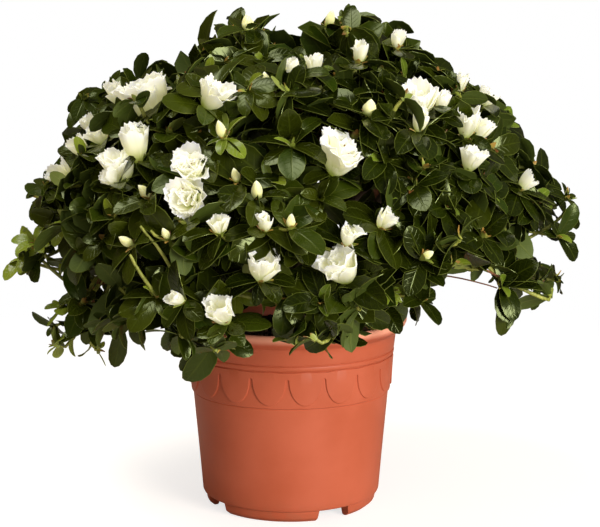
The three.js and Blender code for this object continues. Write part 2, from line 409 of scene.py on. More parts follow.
def foot_pad(start, end):
    """One pad between two azimuths in degrees. Its ends slope, and are wider at the top."""
    pad = bmesh.new()
    corners = [pad.verts.new(polar(start, radius * mm, height * mm)) for radius, height in pad_section]
    loop = [pad.edges.new(pair) for pair in zip(corners, corners[1:] + corners[:1])]
    bmesh.ops.spin(
        pad, geom=corners + loop, axis=up, cent=(0, 0, 0), angle=math.radians(end - start),
        steps=round((end - start) / 2), dvec=(0, 0, 0),
    )
    bmesh.ops.holes_fill(pad, edges=[edge for edge in pad.edges if edge.is_boundary])
    middle = (start + end) / 2
    for vert in pad.verts:
        azimuth = (math.degrees(math.atan2(vert.co.y, vert.co.x)) - middle + 180) % 360 - 180
        spread = pad_end_slope * (vert.co.z / pad_height - 0.5) * azimuth / ((end - start) / 2)
        vert.co = polar(middle + azimuth + spread, vert.co.xy.length, vert.co.z)
    bmesh.ops.recalc_face_normals(pad, faces=pad.faces)
    return pad


def label_field():
    block = bmesh.new()
    width, height, depth = 20 * mm, 17 * mm, 1.6 * mm
    azimuth, wall_slope = math.radians(12), math.radians(4)
    place = (
        Matrix.Rotation(azimuth, 4, "Z") @ Matrix.Translation(at(65.0, 0, 87))
        @ Matrix.Rotation(wall_slope, 4, "Y") @ Matrix.Diagonal((depth, width, height, 1))
    )
    bmesh.ops.create_cube(block, size=1, matrix=place)
    bmesh.ops.bevel(
        block, geom=block.edges[:], offset=0.4 * mm, segments=3, profile=0.5,
        affect="EDGES", material=-1,
    )
    return block


for pad_span in pad_spans:
    join_in(pot, foot_pad(*pad_span))
join_in(pot, label_field())
print("the pot has", len(pot.faces), "faces")

# %% [markdown]
# ## Terracotta-coloured plastic
#
# The plastic is satin, with a faint cloudiness in its colour, a fine mould grain and a little
# dulling where soil and water have dried on it. Its lip is painted paler: a painted highlight
# where the rounded lip catches the light. Clouds and grain come from noise on Object coordinates,
# in a group that the peat uses too, with other scales.

# %% Finish: clouds and grain
clouded, given, result = new_group(
    "clouds_and_grain",
    [("Vector", "Vector"), ("Cloud Scale", "Float"), ("Grain Scale", "Float")],
    [("Clouds", "Float"), ("Grain", "Float")],
)
for label, scale in (("Clouds", "Cloud Scale"), ("Grain", "Grain Scale")):
    plug(clouded, result[label], speckle(clouded, given["Vector"], given[scale], 4.0, 0.5))


def object_place(tree):
    return tree.nodes.new("ShaderNodeTexCoord").outputs["Object"]


def pot_plastic():
    made, tree, shader = new_material("terracotta_plastic", IOR=1.5, Specular_IOR_Level=0.2)
    where = object_place(tree)
    fields = use_group(tree, clouded, Vector=where, Cloud_Scale=26.0, Grain_Scale=1600.0)
    height = add(tree, "SeparateXYZ", where).outputs["Z"]
    body = mixed(
        tree, ease(tree, fields["Clouds"], 0.3, 0.7),
        colour(0.455, 0.095, 0.043), colour(0.515, 0.116, 0.058),
    )
    # The lip is painted paler towards its top: a painted highlight where the rounded lip catches the light.
    rim = ease(tree, height, lip_height - 7 * mm, lip_height - 2 * mm, 0.0, 0.95)
    body = mixed(tree, rim, body, colour(0.84, 0.35, 0.23))
    dusty = ease(tree, height, 20 * mm, -2 * mm, 0.0, 0.35)
    dusty = maths(tree, "MULTIPLY", dusty, ease(tree, speckle(tree, where, 190), 0.35, 0.75))
    plug(tree, shader["Base Color"], mixed(tree, dusty, body, colour(0.33, 0.13, 0.07)))
    worn = maths(tree, "MULTIPLY_ADD", fields["Clouds"], 0.16, 0.36)
    plug(tree, shader["Roughness"], maths(tree, "ADD", worn, dusty))
    relief(tree, shader, fields["Grain"], 0.05 * mm, 0.35)
    return made


add_piece("pot_shell", finished_mesh(pot, "pot_shell"), pot_plastic(), ["pot"])

# %% [markdown]
# ## Peat
#
# The pot is filled with peat: a dark, lumpy bed with loose crumbs and fibres on it. The bed is
# a spun disc with a skirt, raised and lowered by noise. The crumbs are one joined mesh, dealt
# from two rough lumps, a chip and a fibre.

# %% Peat: the bed
peat_radius = 66 * mm


def dip(radius):
    """How far the peat lies lower towards the pot's wall."""
    return 1.8 * mm * (radius / peat_radius) ** 4


def peat_bed():
    rings = [(step * 1.35, 111.3) for step in range(49)]
    bed = turned(rings + [(64.9, 108), (63.6, 96), (0, 96)], steps=140)
    for vert in bed.verts:
        if vert.co.z > soil_height - 1.5 * mm:
            radius = vert.co.xy.length
            lumps = noise.fractal(vert.co * 60, 0.8, 2.2, 4) * 2.2 * mm
            fine = noise.noise(vert.co * 420) * 0.7 * mm
            rim = min(1, (peat_radius - radius) / (6 * mm))
            vert.co.z += lumps * rim + fine - dip(radius)
    return bed


def peat(name, dark, light):
    made, tree, shader = new_material(name, Specular_IOR_Level=0.25)
    where = object_place(tree)
    fields = use_group(tree, clouded, Vector=where, Cloud_Scale=260.0, Grain_Scale=1900.0)
    plug(tree, shader["Base Color"], mixed(tree, ease(tree, fields["Clouds"], 0.35, 0.7), dark, light))
    plug(tree, shader["Roughness"], maths(tree, "MULTIPLY_ADD", fields["Grain"], 0.2, 0.78))
    relief(tree, shader, fields["Grain"], 0.6 * mm)
    return made


peat_finish = peat("peat", colour(0.012, 0.007, 0.005), colour(0.055, 0.03, 0.018))
add_piece("peat_bed", finished_mesh(peat_bed(), "peat_bed"), peat_finish, ["soil"])

# %% [markdown]
# ## Dealing many small things
#
# Crumbs, leaves, petals and buds are each a few shapes repeated hundreds of times. A shape is
# modelled once in a bmesh, turned into arrays, and dealt out by matrices into one joined mesh.
#
# Each thing that is dealt also gets one cell of an eight by eight sheet for its UV map. Its
# upper side goes to the upper half of the sheet and its lower side to the lower half, so that
# the finish can tell them apart, can follow the blade from base to tip, and can give each cell
# a tint of its own.

# %% Dealing: shapes as arrays
sheet_cells = 8
uv_name = "OFBake"


def new_shape():
    """An empty bmesh with a UV map."""
    bm = bmesh.new()
    bm.loops.layers.uv.new(uv_name)
    return bm


class Shape:
    """The corners, faces and UV places of one small thing, as arrays."""

    def __init__(self, bm):
        layer = bm.loops.layers.uv[uv_name]
        bm.verts.index_update()
        self.corners = np.array([vert.co[:] for vert in bm.verts])
        self.sizes = np.array([len(face.verts) for face in bm.faces])
        self.indices = np.array([loop.vert.index for face in bm.faces for loop in face.loops])
        self.places = np.array([loop[layer].uv[:] for face in bm.faces for loop in face.loops])
        bm.free()


def dealt_mesh(name, shapes, deals, sharp_degrees=50):
    """One mesh from deals, which are (shape number, matrix, column, row) each."""
    corners, sizes, indices, places = [], [], [], []
    count = 0
    for number, shape in enumerate(shapes):
        chosen = [deal for deal in deals if deal[0] == number]
        if not chosen:
            continue
        matrices = np.array([deal[1] for deal in chosen])
        cells = np.array([(deal[2], deal[3]) for deal in chosen], float) / sheet_cells
        moved = np.einsum("nij,vj->nvi", matrices[:, :3, :3], shape.corners) + matrices[:, None, :3, 3]
        corners.append(moved.reshape(-1, 3))
        starts = count + np.arange(len(chosen)) * len(shape.corners)
        indices.append((starts[:, None] + shape.indices).ravel())
        sizes.append(np.tile(shape.sizes, len(chosen)))
        places.append((cells[:, None] + shape.places).reshape(-1, 2))
        count += len(chosen) * len(shape.corners)
    corners, sizes = np.concatenate(corners), np.concatenate(sizes)
    indices, places = np.concatenate(indices), np.concatenate(places)
    mesh = bpy.data.meshes.new(name)
    mesh.vertices.add(len(corners))
    mesh.vertices.foreach_set("co", corners.astype(np.float32).ravel())
    mesh.loops.add(len(indices))
    mesh.loops.foreach_set("vertex_index", indices.astype(np.int32))
    mesh.polygons.add(len(sizes))
    mesh.polygons.foreach_set("loop_start", (np.cumsum(sizes) - sizes).astype(np.int32))
    mesh.update(calc_edges=True)
    mesh.uv_layers.new(name=uv_name)
    mesh.uv_layers[uv_name].data.foreach_set("uv", places.astype(np.float32).ravel())
    mesh.shade_smooth()
    mesh.set_sharp_from_angle(angle=math.radians(sharp_degrees))
    return mesh


def random_turn():
    return Matrix.Rotation(chance.uniform(0, math.tau), 4, Vector(chance.normal(size=3)).normalized())


def random_row():
    return int(chance.integers(sheet_cells // 2))


def random_cell():
    return int(chance.integers(sheet_cells)), random_row()

# %% Peat: the crumbs
def lump(stretch):
    """A rough ball, drawn out along X to a fibre by a high stretch."""
    bm = new_shape()
    bmesh.ops.create_icosphere(bm, subdivisions=1, radius=1)
    for vert in bm.verts:
        vert.co *= 1 + 0.35 * noise.noise(vert.co * 1.7 + Vector((stretch * 9, 0, 0)))
        vert.co.x *= stretch
    return Shape(bm)


# How often each of the four kinds of crumb comes up.
crumb_shares = [0.4, 0.35, 0.17, 0.08]


def crumb_deals(count=950):
    """Crumbs strewn evenly over the bed. The lumps lie any way up, and the fibres flat."""
    deals = []
    for _ in range(count):
        radius = 65 * mm * math.sqrt(chance.random())
        spot = polar(chance.uniform(0, 360), radius, soil_height - 0.4 * mm)
        spot.z -= dip(radius)
        kind = int(chance.choice(len(crumb_shares), p=crumb_shares))
        size = chance.uniform(0.5, 1.7) * mm if kind < 3 else 0.45 * mm
        turn = random_turn() if kind < 2 else Matrix.Rotation(chance.uniform(0, math.tau), 4, "Z")
        deals.append((kind, Matrix.Translation(spot) @ turn @ Matrix.Scale(size, 4), *random_cell()))
    return deals


crumbs = dealt_mesh("peat_crumbs", [lump(1.0), lump(1.4), lump(2.6), lump(14.0)], crumb_deals(), 80)
crumb_finish = peat("peat_crumb", colour(0.02, 0.011, 0.007), colour(0.10, 0.058, 0.034))
add_piece("peat_crumbs", crumbs, crumb_finish)

# %% [markdown]
# ## Stem and boughs
#
# The model's limbs are plain faceted tubes. Slicing each with planes gives its middle line and
# its thickness, and a finer shell is then grown along that line: a ring of vertices, extruded
# from station to station. Noise drawn out along the height gives the shell its bark.

# %% Limbs: the middle lines
slice_count = 7
# The cuts lie between these shares of a limb's length, clear of its slanted ends.
stem_span, bough_span = (0.03, 0.86), (0.15, 0.85)


class Limb:
    """A limb's middle line, from its thick end, and its radius at each point."""

    def __init__(self, name):
        mesh = nodes[name].data
        corners = np.array([vert.co[:] for vert in mesh.vertices])
        middle = corners.mean(0)
        axis = np.linalg.svd(corners - middle, full_matrices=False)[2][0]
        if name == "stem" and axis[2] < 0:
            axis = -axis
        reach = (corners - middle) @ axis
        self.name, self.points, self.radii = name, [], []
        first, last = stem_span if name == "stem" else bough_span
        for share in np.linspace(first, last, slice_count):
            level = reach.min() + share * (reach.max() - reach.min())
            cut = self.slice(mesh, Vector(middle + axis * level), Vector(axis))
            centre = sum(cut, Vector()) / len(cut)
            self.points.append(centre)
            self.radii.append(1.05 * sum((corner - centre).length for corner in cut) / len(cut))
        if self.radii[0] < self.radii[-1]:
            self.points.reverse()
            self.radii.reverse()
        self.lengthen()

    @staticmethod
    def slice(mesh, point, normal):
        """The corners of the cut that a plane makes through a mesh."""
        bm = bmesh.new()
        bm.from_mesh(mesh)
        everything = bm.verts[:] + bm.edges[:] + bm.faces[:]
        cut = bmesh.ops.bisect_plane(bm, geom=everything, plane_co=point, plane_no=normal)
        corners = [item.co.copy() for item in cut["geom_cut"] if isinstance(item, bmesh.types.BMVert)]
        bm.free()
        return corners

    def lengthen(self):
        """Runs both ends on, into the soil or the fork and into the mass at the far end."""
        start, end = self.points[0] - self.points[1], self.points[-1] - self.points[-2]
        run = 0.5 if self.name == "stem" else 1.6
        self.points = [self.points[0] + start * run] + self.points + [self.points[-1] + end * 1.4]
        self.radii = [self.radii[0] * 1.04] + self.radii + [self.radii[-1] * 0.8]


limbs = {name: Limb(name) for name in limb_names}
for limb in limbs.values():
    print(limb.name, "from", [round(x / mm) for x in limb.points[0]], "radius", round(limb.radii[0] / mm, 1))

# %% Limbs: rings along a line
def smooth_line(points, values, step):
    """The points and values taken again at even steps along a smooth curve through them."""
    ends = [points[0] * 2 - points[1]] + points + [points[-1] * 2 - points[-2]]
    line, radii = [], []
    for i in range(len(points) - 1):
        before, start, end, after = ends[i:i + 4]
        pieces = max(1, round((end - start).length / step))
        for piece in range(pieces + (i == len(points) - 2)):
            t = piece / pieces
            line.append(
                0.5 * (2 * start + (end - before) * t + (2 * before - 5 * start + 4 * end - after) * t**2
                       + (3 * start - before - 3 * end + after) * t**3)
            )
            radii.append(values[i] + (values[i + 1] - values[i]) * t)
    return line, radii


def station_frames(line, radii):
    """A matrix for each point of the line, which doesn't twist, scaled by the radius there."""
    frames = []
    side = (line[1] - line[0]).orthogonal().normalized()
    for i, (point, radius) in enumerate(zip(line, radii)):
        along = (line[min(i + 1, len(line) - 1)] - line[max(i - 1, 0)]).normalized()
        side = (side - along * side.dot(along)).normalized()
        frames.append(axes_matrix(point, side, along.cross(side), along) @ Matrix.Scale(radius, 4))
    return frames


def limb_shell(bm, line, radii, sides):
    """Grows a tube in bm along a line, by extruding a ring from station to station."""
    frames = station_frames(line, radii)
    ring = bmesh.ops.create_circle(bm, segments=sides, radius=1, matrix=frames[0])["verts"]
    loop = list({edge for vert in ring for edge in vert.link_edges})
    for last, frame_here in zip(frames, frames[1:]):
        made = bmesh.ops.extrude_edge_only(bm, edges=loop)["geom"]
        moved = [item for item in made if isinstance(item, bmesh.types.BMVert)]
        loop = [item for item in made if isinstance(item, bmesh.types.BMEdge)]
        loop = [edge for edge in loop if all(vert in moved for vert in edge.verts)]
        bmesh.ops.transform(bm, matrix=frame_here @ last.inverted(), verts=moved)

# %% Limbs: shells with bark
def bark_relief(bm):
    """Raises long ridges and knots. The noise is read in millimetres."""
    bm.normal_update()
    for vert in bm.verts:
        place = vert.co / mm
        ridges = noise.noise(Vector((place.x * 0.9, place.y * 0.9, place.z * 0.16)))
        knots = noise.fractal(place * 0.11, 1.0, 2.0, 3)
        vert.co += vert.normal * (ridges * 0.4 + knots * 0.5) * mm


wood = bmesh.new()
for limb in limbs.values():
    line, radii = smooth_line(limb.points, limb.radii, 1.6 * mm)
    limb_shell(wood, line, radii, 18 if limb.name == "stem" else 12)
bmesh.ops.holes_fill(wood, edges=[edge for edge in wood.edges if edge.is_boundary])
bmesh.ops.recalc_face_normals(wood, faces=wood.faces)
bark_relief(wood)

# %% [markdown]
# ## Bark
#
# Old azalea wood is grey-brown with fine lengthwise cracks. Twigs are redder and smoother, and
# the newest shoots are green with a red tinge. All three share a group that makes streaks from
# noise squeezed along the height, and each material gives it its own colours.

# %% Finish: bark and shoots
streaked, given, result = new_group(
    "streaked_bark",
    [("Vector", "Vector"), ("Dark", "Color"), ("Light", "Color")],
    [("Color", "Color"), ("Height", "Float")],
)
streaks = speckle(streaked, squeezed(streaked, given["Vector"], (1, 1, 0.3)), 900, 5)
patches = speckle(streaked, given["Vector"], 130, 2)
both = maths(streaked, "MULTIPLY_ADD", streaks, 0.6, maths(streaked, "MULTIPLY", patches, 0.4))
shades = mixed(streaked, ease(streaked, both, 0.38, 0.62), given["Dark"], given["Light"])
plug(streaked, result["Color"], shades)
plug(streaked, result["Height"], streaks)


def bark(name, dark, light, roughness, bump):
    made, tree, shader = new_material(name, Roughness=roughness)
    fields = use_group(tree, streaked, Vector=object_place(tree), Dark=dark, Light=light)
    plug(tree, shader["Base Color"], fields["Color"])
    relief(tree, shader, fields["Height"], bump)
    return made


old_bark = bark("old_bark", colour(0.045, 0.028, 0.018), colour(0.16, 0.105, 0.07), 0.85, 0.5 * mm)
twig_bark = bark("twig_bark", colour(0.12, 0.042, 0.016), colour(0.30, 0.115, 0.045), 0.7, 0.2 * mm)
shoot_skin = bark("shoot_skin", colour(0.17, 0.19, 0.02), colour(0.38, 0.39, 0.07), 0.5, 0.1 * mm)
add_piece("limbs", finished_mesh(wood, "limbs", 60), old_bark, limb_names)

# %% [markdown]
# ## Where the shoots end
#
# An azalea carries its leaves in whorls at the tips of its shoots, and its flowers stand in the
# middle of those whorls. So the crown is planned from its tips: first the flowers, at places
# listed at the front and chosen by chance elsewhere. Then come some shoots with a place of
# their own, which stray out of the crown or fill a gap in it, and last the leafy tips, spread
# evenly over what is left of the outer faces of the masses.
#
# A real crown is no smooth dome. Its leaves swell out of the masses in clumps, its outline
# follows a skyline with peaks and dips, and each shoot may overshoot that line by a little.

# %% Crown: the surfaces of the masses
class Mass:
    """One mass of the crown: its corners, its triangles and their areas and normals."""

    def __init__(self, name):
        mesh = nodes[name].data
        self.name = name
        self.corners = np.array([vert.co[:] for vert in mesh.vertices])
        self.faces = np.array([face.vertices[:] for face in mesh.polygons])
        first, second, third = (self.corners[self.faces[:, i]] for i in range(3))
        cross = np.cross(second - first, third - first)
        twice = np.linalg.norm(cross, axis=1)
        self.areas, self.normals = twice / 2, cross / np.maximum(twice, 1e-12)[:, None]
        self.centre = Vector((self.corners.min(0) + self.corners.max(0)) / 2)
        self.tips = []

    def samples(self, spacing):
        """Points and normals at random all over the mass, one for each square of the spacing."""
        count = int(self.areas.sum() / spacing**2)
        picks = chance.choice(len(self.areas), size=count, p=self.areas / self.areas.sum())
        shares = chance.dirichlet((1, 1, 1), size=count)
        points = np.einsum("nk,nkj->nj", shares, self.corners[self.faces[picks]])
        return zip(map(Vector, points), map(Vector, self.normals[picks]))


masses = {name: Mass(name) for name in mass_names}
crown_corners, crown_faces, face_mass = [], [], []
for mass in masses.values():
    offset = len(crown_corners)
    crown_corners += [Vector(corner) for corner in mass.corners]
    crown_faces += [[int(i) + offset for i in face] for face in mass.faces]
    face_mass += [mass] * len(mass.faces)
crown_surface = BVHTree.FromPolygons(crown_corners, crown_faces)


def on_crown(azimuth, elevation):
    """The outermost point of the crown in a direction from the dome's centre, and its mass."""
    out = polar(azimuth, math.cos(math.radians(elevation)), math.sin(math.radians(elevation)))
    outside, crown_radius = 500 * mm, 170 * mm
    point, _, face, _ = crown_surface.ray_cast(dome_centre + out * outside, -out, 450 * mm)
    if point is None:
        point, _, face, _ = crown_surface.find_nearest(dome_centre + out * crown_radius)
    return point, out, face_mass[face]


def mass_near(point):
    return face_mass[crown_surface.find_nearest(point)[2]]

# %% Crown: the skyline
# The crown's outline from the front, in millimetres: places right of the middle, and the height
# there.
skyline = [
    (-190, 176), (-162, 192), (-143, 243), (-130, 266), (-118, 272), (-96, 281), (-67, 268),
    (-54, 292), (-40, 318), (-28, 314), (-10, 291), (24, 287), (36, 316), (50, 307), (76, 291),
    (95, 274), (120, 266), (145, 254), (153, 228), (166, 208), (190, 197),
]
skyline_places, skyline_heights = np.array(skyline).T * mm


def greatest_height(point):
    return np.interp(point.x, skyline_places, skyline_heights)


def too_high(point, overshoot=0.0):
    return point.z > greatest_height(point) + overshoot


print("the skyline's highest point is at", round(skyline_heights.max(), 3))

# %% Crown: what a tip is
class Tip:
    """The end of one shoot: its place, its direction, and what grows from it.

    A stray tip may stand out of the crown. A sprig also has a foot, where its twig starts, and
    so the branching rule leaves it out.
    """

    def __init__(self, point, axis, mass, out=up, kind="leafy", size=0.0, stray=False, foot=None):
        self.point, self.axis, self.out, self.kind, self.size = point, axis, out, kind, size
        self.mass, self.stray, self.foot = mass, stray, foot
        # The leaves of the outer sprays are often young.
        self.fresh_share = 0.4 if "spray" in mass.name else 0.025
        self.vigour = chance.uniform(0.8, 1.12)
        self.overshoot = min(chance.exponential(5), 14) * mm
        if foot is None:
            mass.tips.append(self)


tips = []

# %% Crown: flowers and buds at the front
# Azimuth, elevation, kind, size in millimetres, and how far the flower leans right and up.
front_flowers = [
    (-134, 44, "half", 30, -0.2, 0.9), (-130, 34, "tight", 26, 0.1, 1.0),
    (-134, 29, "half", 21, -0.2, 0.9), (-113, 29, "ruffled", 18, 0.2, 0.6),
    (-113, 23, "ruffled", 20, 0.0, -0.1), (-110, 43, "half", 21, 0.8, 0.6),
    (-80, 32, "flared", 25, 0.4, 0.9), (-57, 43, "half", 23, -0.2, 0.8),
    (-42, 38, "tight", 21, 0.0, 0.9), (-38, 36, "tight", 16, 0.4, 0.8), (-38, 46, "tight", 14, 0.2, 1.0),
    (-19, 44, "tight", 15, 0.1, 1.0), (-47, 30, "half", 16, 0.1, 0.9),
    (-60, 38, "tight", 16, 0.0, 1.0), (-81, 11, "half", 24, -0.4, 0.7),
    (-79, 16, "tight", 15, 0.0, 0.6), (-72, 19, "tight", 14, 0.5, 0.5),
    (-97, 11, "half", 21, 0.1, 0.8), (-105, 2, "half", 20, -0.2, 0.8),
    (-157, 45, "tight", 16, -0.3, 0.8), (-162, 37, "tight", 16, -0.4, 0.6),
    (-150, 35, "half", 15, -0.3, 0.7), (-153, 31, "tight", 16, -0.5, 0.6),
    (-134, 26, "half", 15, -0.5, 0.4), (-162, 25, "tight", 17, -0.6, 0.5),
    (-96, 19, "tight", 13, 0.1, 0.8), (-105, 18, "tight", 13, -0.1, 0.8),
    (-114, 4, "tight", 13, -0.3, 0.3), (-50, 42, "tight", 13, 0.1, 0.9),
    (-72, 41, "plump", 11, 0.1, 0.9), (-68, 56, "tight", 14, 0.1, 1.0),
    (-84, 54, "tight", 14, 0.1, 1.0), (-91, 52, "tight", 13, -0.1, 1.0),
    (-99, 49, "slender", 13, -0.1, 0.9), (-107, 36, "slender", 12, -0.2, 0.8),
    (-98, 25, "slender", 13, 0.0, 0.8), (-103, 28, "slender", 10, -0.1, 0.7),
    (-26, 24, "tight", 14, 0.5, 0.9), (-91, 19, "slender", 10, 0.1, 0.8),
    (-122, 71, "plump", 11, -0.1, 1.0), (-44, 61, "tight", 12, 0.2, 1.0),
    (-60, 76, "slender", 12, 0.3, 1.0), (-124, 24, "slender", 12, -0.4, 0.6),
    (-126, 14, "slender", 11, -0.4, 0.4), (-116, 16, "slender", 9, -0.1, 0.6),
    (-65, 12, "slender", 9, 0.3, 0.3), (-95, 62, "slender", 12, 0.0, 1.0),
]
bloom_kinds = ("flared", "half", "ruffled", "tight")
bud_kinds = ("plump", "slender")


def place_flower(azimuth, elevation, kind, size, lean):
    """Stands a flower with its foot inside the crown, so that its outer half shows."""
    surface, out, mass = on_crown(azimuth, elevation)
    axis = (out * (0.8 if kind == "ruffled" else 0.3) + lean).normalized()
    base = surface - out * size * 0.25 * mm - axis * size * 0.55 * mm
    tips.append(Tip(base, axis, mass, out, kind, size * mm))


for azimuth, elevation, kind, size, right, rise in front_flowers:
    place_flower(azimuth, elevation, kind, size, Vector((right, -0.15, rise)) * 0.7)
print(len(tips), "flowers and buds at the front")

# %% Crown: flowers and buds at the back
# They keep clear of the crown's sides and top edge, where they would show from the front.
back_kinds = ["half", "ruffled", "flared", "tight", "half", "plump", "slender", "tight", "slender", "plump"]
back_count = 44
back_spacing = 33 * mm
back_spots = []
while len(back_spots) < back_count:
    azimuth, elevation = chance.uniform(-20, 200), math.degrees(math.asin(chance.uniform(0.02, 0.93)))
    spot, out, _ = on_crown(azimuth, elevation)
    apart = min([(spot - other).length for other in back_spots] + [1])
    at_side = abs(spot.x) > 120 * mm and spot.y < 75 * mm
    at_edge = at_side or too_high(spot + up * 16 * mm)
    if apart > back_spacing and spot.y > 15 * mm and not at_edge:
        kind = back_kinds[len(back_spots) % len(back_kinds)]
        size = chance.uniform(20, 28) if kind in bloom_kinds[:3] else chance.uniform(11, 16)
        place_flower(azimuth, elevation, kind, size, up * 0.4 + Vector(chance.normal(0, 0.15, 3)))
        back_spots.append(spot)
print(len(tips), "flowers and buds in all")

# %% Crown: where leaves may be
def shoot_axis(point, normal):
    """Shoots lean out of the crown and turn up towards the light."""
    out = Vector((normal.x, normal.y, max(normal.z, -0.1)))
    return (out * 0.75 + up * 0.5 + Vector(chance.normal(0, 0.27, 3))).normalized()


def in_pot(point):
    """Whether a point is in the pot or just over its lip."""
    return point.xy.length < lip_radius + 4 * mm and point.z < lip_height + 6 * mm


def open_side(point):
    """The low sides of the crown are thin, and sky shows through them."""
    low = point.z < lip_height + 42 * mm and not -106 * mm < point.x < 82 * mm
    return low or (point.x > 124 * mm and point.z < lip_height + 82 * mm)


# The gaps low on both sides, between the crown and its outer sprays, in millimetres: from where
# to where across, and between which heights over the lip. Light shows through them.
daylight = [(86, 122, -200, 29), (-124, -110, 13, 30), (-152, -134, 12, 30), (147, 167, 37, 51)]


def in_daylight(point):
    """Whether a point is in one of the gaps, as they are seen from a little above."""
    across, height = point.x / mm, (point.z - lip_height + 0.16 * point.y) / mm
    return any(left < across < right and low < height < high for left, right, low, high in daylight)


def swell(point):
    """How far the leaves stand out of the mass at a point, as the crown grows in clumps."""
    return noise.noise(point * 28) * 14 * mm

# %% Crown: the rule for leafy tips
leafy_spacing = 19.5 * mm
spray_spacing = 21 * mm
flower_room = 13 * mm
sample_spacing = 4 * mm
cover = 20 * mm


def leafy_tips():
    """Spreads tips over the outer faces of the masses, a little way inside them."""
    found = np.array([tip.point[:] for tip in tips])
    rooms = np.full(len(found), flower_room)
    for mass in masses.values():
        spray = "spray" in mass.name
        if spray and mass.name != "foliage_spray_low_left":
            continue
        for point, normal in mass.samples(sample_spacing):
            spacing = spray_spacing if spray else leafy_spacing * (1.5 if open_side(point) else 1)
            hidden = crown_surface.ray_cast(point + normal * 0.1 * mm, normal, cover)[0] is not None
            if hidden or (normal.z < -0.45 and chance.random() < 0.8):
                continue
            axis = shoot_axis(point, normal)
            sideways = math.sqrt(max(0, 1 - axis.dot(normal) ** 2))
            inset = (11 + 9 * sideways + min(chance.exponential(4), 16)) * mm - swell(point)
            spot = point - normal * (min(inset, 7 * mm) if spray else inset)
            spot.z = min(spot.z, greatest_height(spot) - 5 * mm)
            if in_pot(spot) or in_daylight(spot):
                continue
            gaps = np.linalg.norm(found - np.array(spot), axis=1)
            if (gaps > np.minimum(rooms, spacing)).all():
                tips.append(Tip(spot, axis, mass))
                found, rooms = np.vstack((found, spot[:])), np.append(rooms, spacing)

# %% Crown: shoots with a place of their own
# Where each stray shoot ends, in millimetres, and which way it points. The first nine stand out
# of the crown, the next three hang over the front of the pot, and the rest fill the inside of
# the crown above it.
stray_shoots = [
    (-37, -5, 303, -0.3, -0.1, 1.0), (-54, -5, 288, -0.6, -0.1, 0.9), (-114, -5, 264, -0.8, -0.1, 0.6),
    (-160, -10, 200, -1.0, -0.1, 0.0), (-160, -20, 163, -1.0, -0.1, 0.25), (156, -5, 201, 1.0, -0.1, 0.2),
    (132, -5, 244, 0.8, -0.1, 0.5), (38, -5, 303, 0.3, -0.1, 1.0), (128, -20, 224, 0.8, -0.3, 0.5),
    (56, -60, 140, 0.4, -0.9, 0.2), (-6, -56, 141, -0.1, -1.0, 0.4), (26, -44, 142, 0.1, -1.0, 0.5),
    (-24, -22, 142, -0.2, -1.0, 0.3), (-6, 6, 143, 0.1, -1.0, 0.1), (-34, -44, 144, -0.2, -1.0, 0.4),
    (-48, -8, 148, -0.2, -1.0, 0.1), (-32, 22, 151, -0.1, -1.0, 0.1), (-14, 34, 153, 0.0, -1.0, 0.1),
    (-38, -20, 163, -0.1, -1.0, 0.0), (22, 30, 153, 0.1, -1.0, 0.1), (-54, 16, 156, -0.1, -1.0, 0.0),
]
for x, y, z, *axis in stray_shoots:
    spot = at(x, y, z)
    tips.append(Tip(spot, Vector(axis).normalized(), mass_near(spot), stray=True))

# Sprigs stand free of the crown at both sides, in place of the outer sprays. Each has its foot,
# its tip, and how likely its leaves are to be young.
sprigs = [
    (-124, -20, 133, -162, -20, 166, 1.0), (-144, -8, 150, -168, -12, 160, 1.0),
    (-150, -20, 158, -158, -34, 174, 0.8), (-120, -22, 130, -147, -30, 121, 0.2),
    (143, -20, 157, 172, -18, 190, 0.3), (140, -12, 170, 166, -30, 178, 0.2),
    (132, -26, 148, 153, -28, 147, 0.2), (134, -18, 144, 166, -22, 149, 0.0),
    (126, -22, 142, 138, -30, 136, 0.0), (150, -4, 176, 174, -12, 199, 0.3),
]
for *place, share in sprigs:
    foot, spot = at(*place[:3]), at(*place[3:])
    sprig = Tip(spot, (spot - foot).normalized(), mass_near(spot), stray=True, foot=foot)
    sprig.fresh_share = share
    tips.append(sprig)

# Shoots that close the gaps between the masses on top of the crown.
gap_shoots = [
    (-72, 40, 260), (-54, 48, 272), (-30, 55, 284), (1, 6, 290), (6, -28, 288), (-71, -41, 262),
    (24, 16, 282), (90, 10, 266), (116, 4, 258), (-70, 22, 262), (-46, -68, 276), (20, -66, 282),
]
for place in gap_shoots:
    spot = at(*place)
    tips.append(Tip(spot, shoot_axis(spot, (spot - dome_centre).normalized()), mass_near(spot)))

leafy_tips()
print(len(tips), "tips in all,", sum(tip.kind == "leafy" for tip in tips), "of them leafy")

# %% [markdown]
# ## Twigs
#
# The twigs grow on from the boughs by a branching rule. A mass's tips are shared out again and
# again into two or three groups, with a fork on the way to the middle of each group, until one
# tip is left for each twig. A twig that feeds more tips is thicker. Every twig is a smooth line
# that wanders a little and whose radius changes along it. A curve object turns all of them into
# tubes, and a second one puts a green skin on the last stretch below each tip.
#
# A few bare twigs, long pale shoots and hanging leaves have places of their own, because each
# of them shows singly.

# %% Twigs: the branching rule
thinnest = 0.62 * mm
twig_lines = []
limb_points = [
    (point, (limb.points[min(i + 1, len(limb.points) - 1)] - limb.points[i - 1]).normalized())
    for limb in limbs.values() for i, point in enumerate(limb.points) if i > 2
]


def twig_radius(count):
    return thinnest * count**0.42


noise_shifts = [Vector((40, 0, 0)), Vector((0, 40, 0)), Vector((0, 0, 40))]


def wander(point):
    """A smooth random step that depends on the place alone."""
    return Vector([noise.noise(point * 55 + shift) for shift in noise_shifts]) * 1.6 * mm


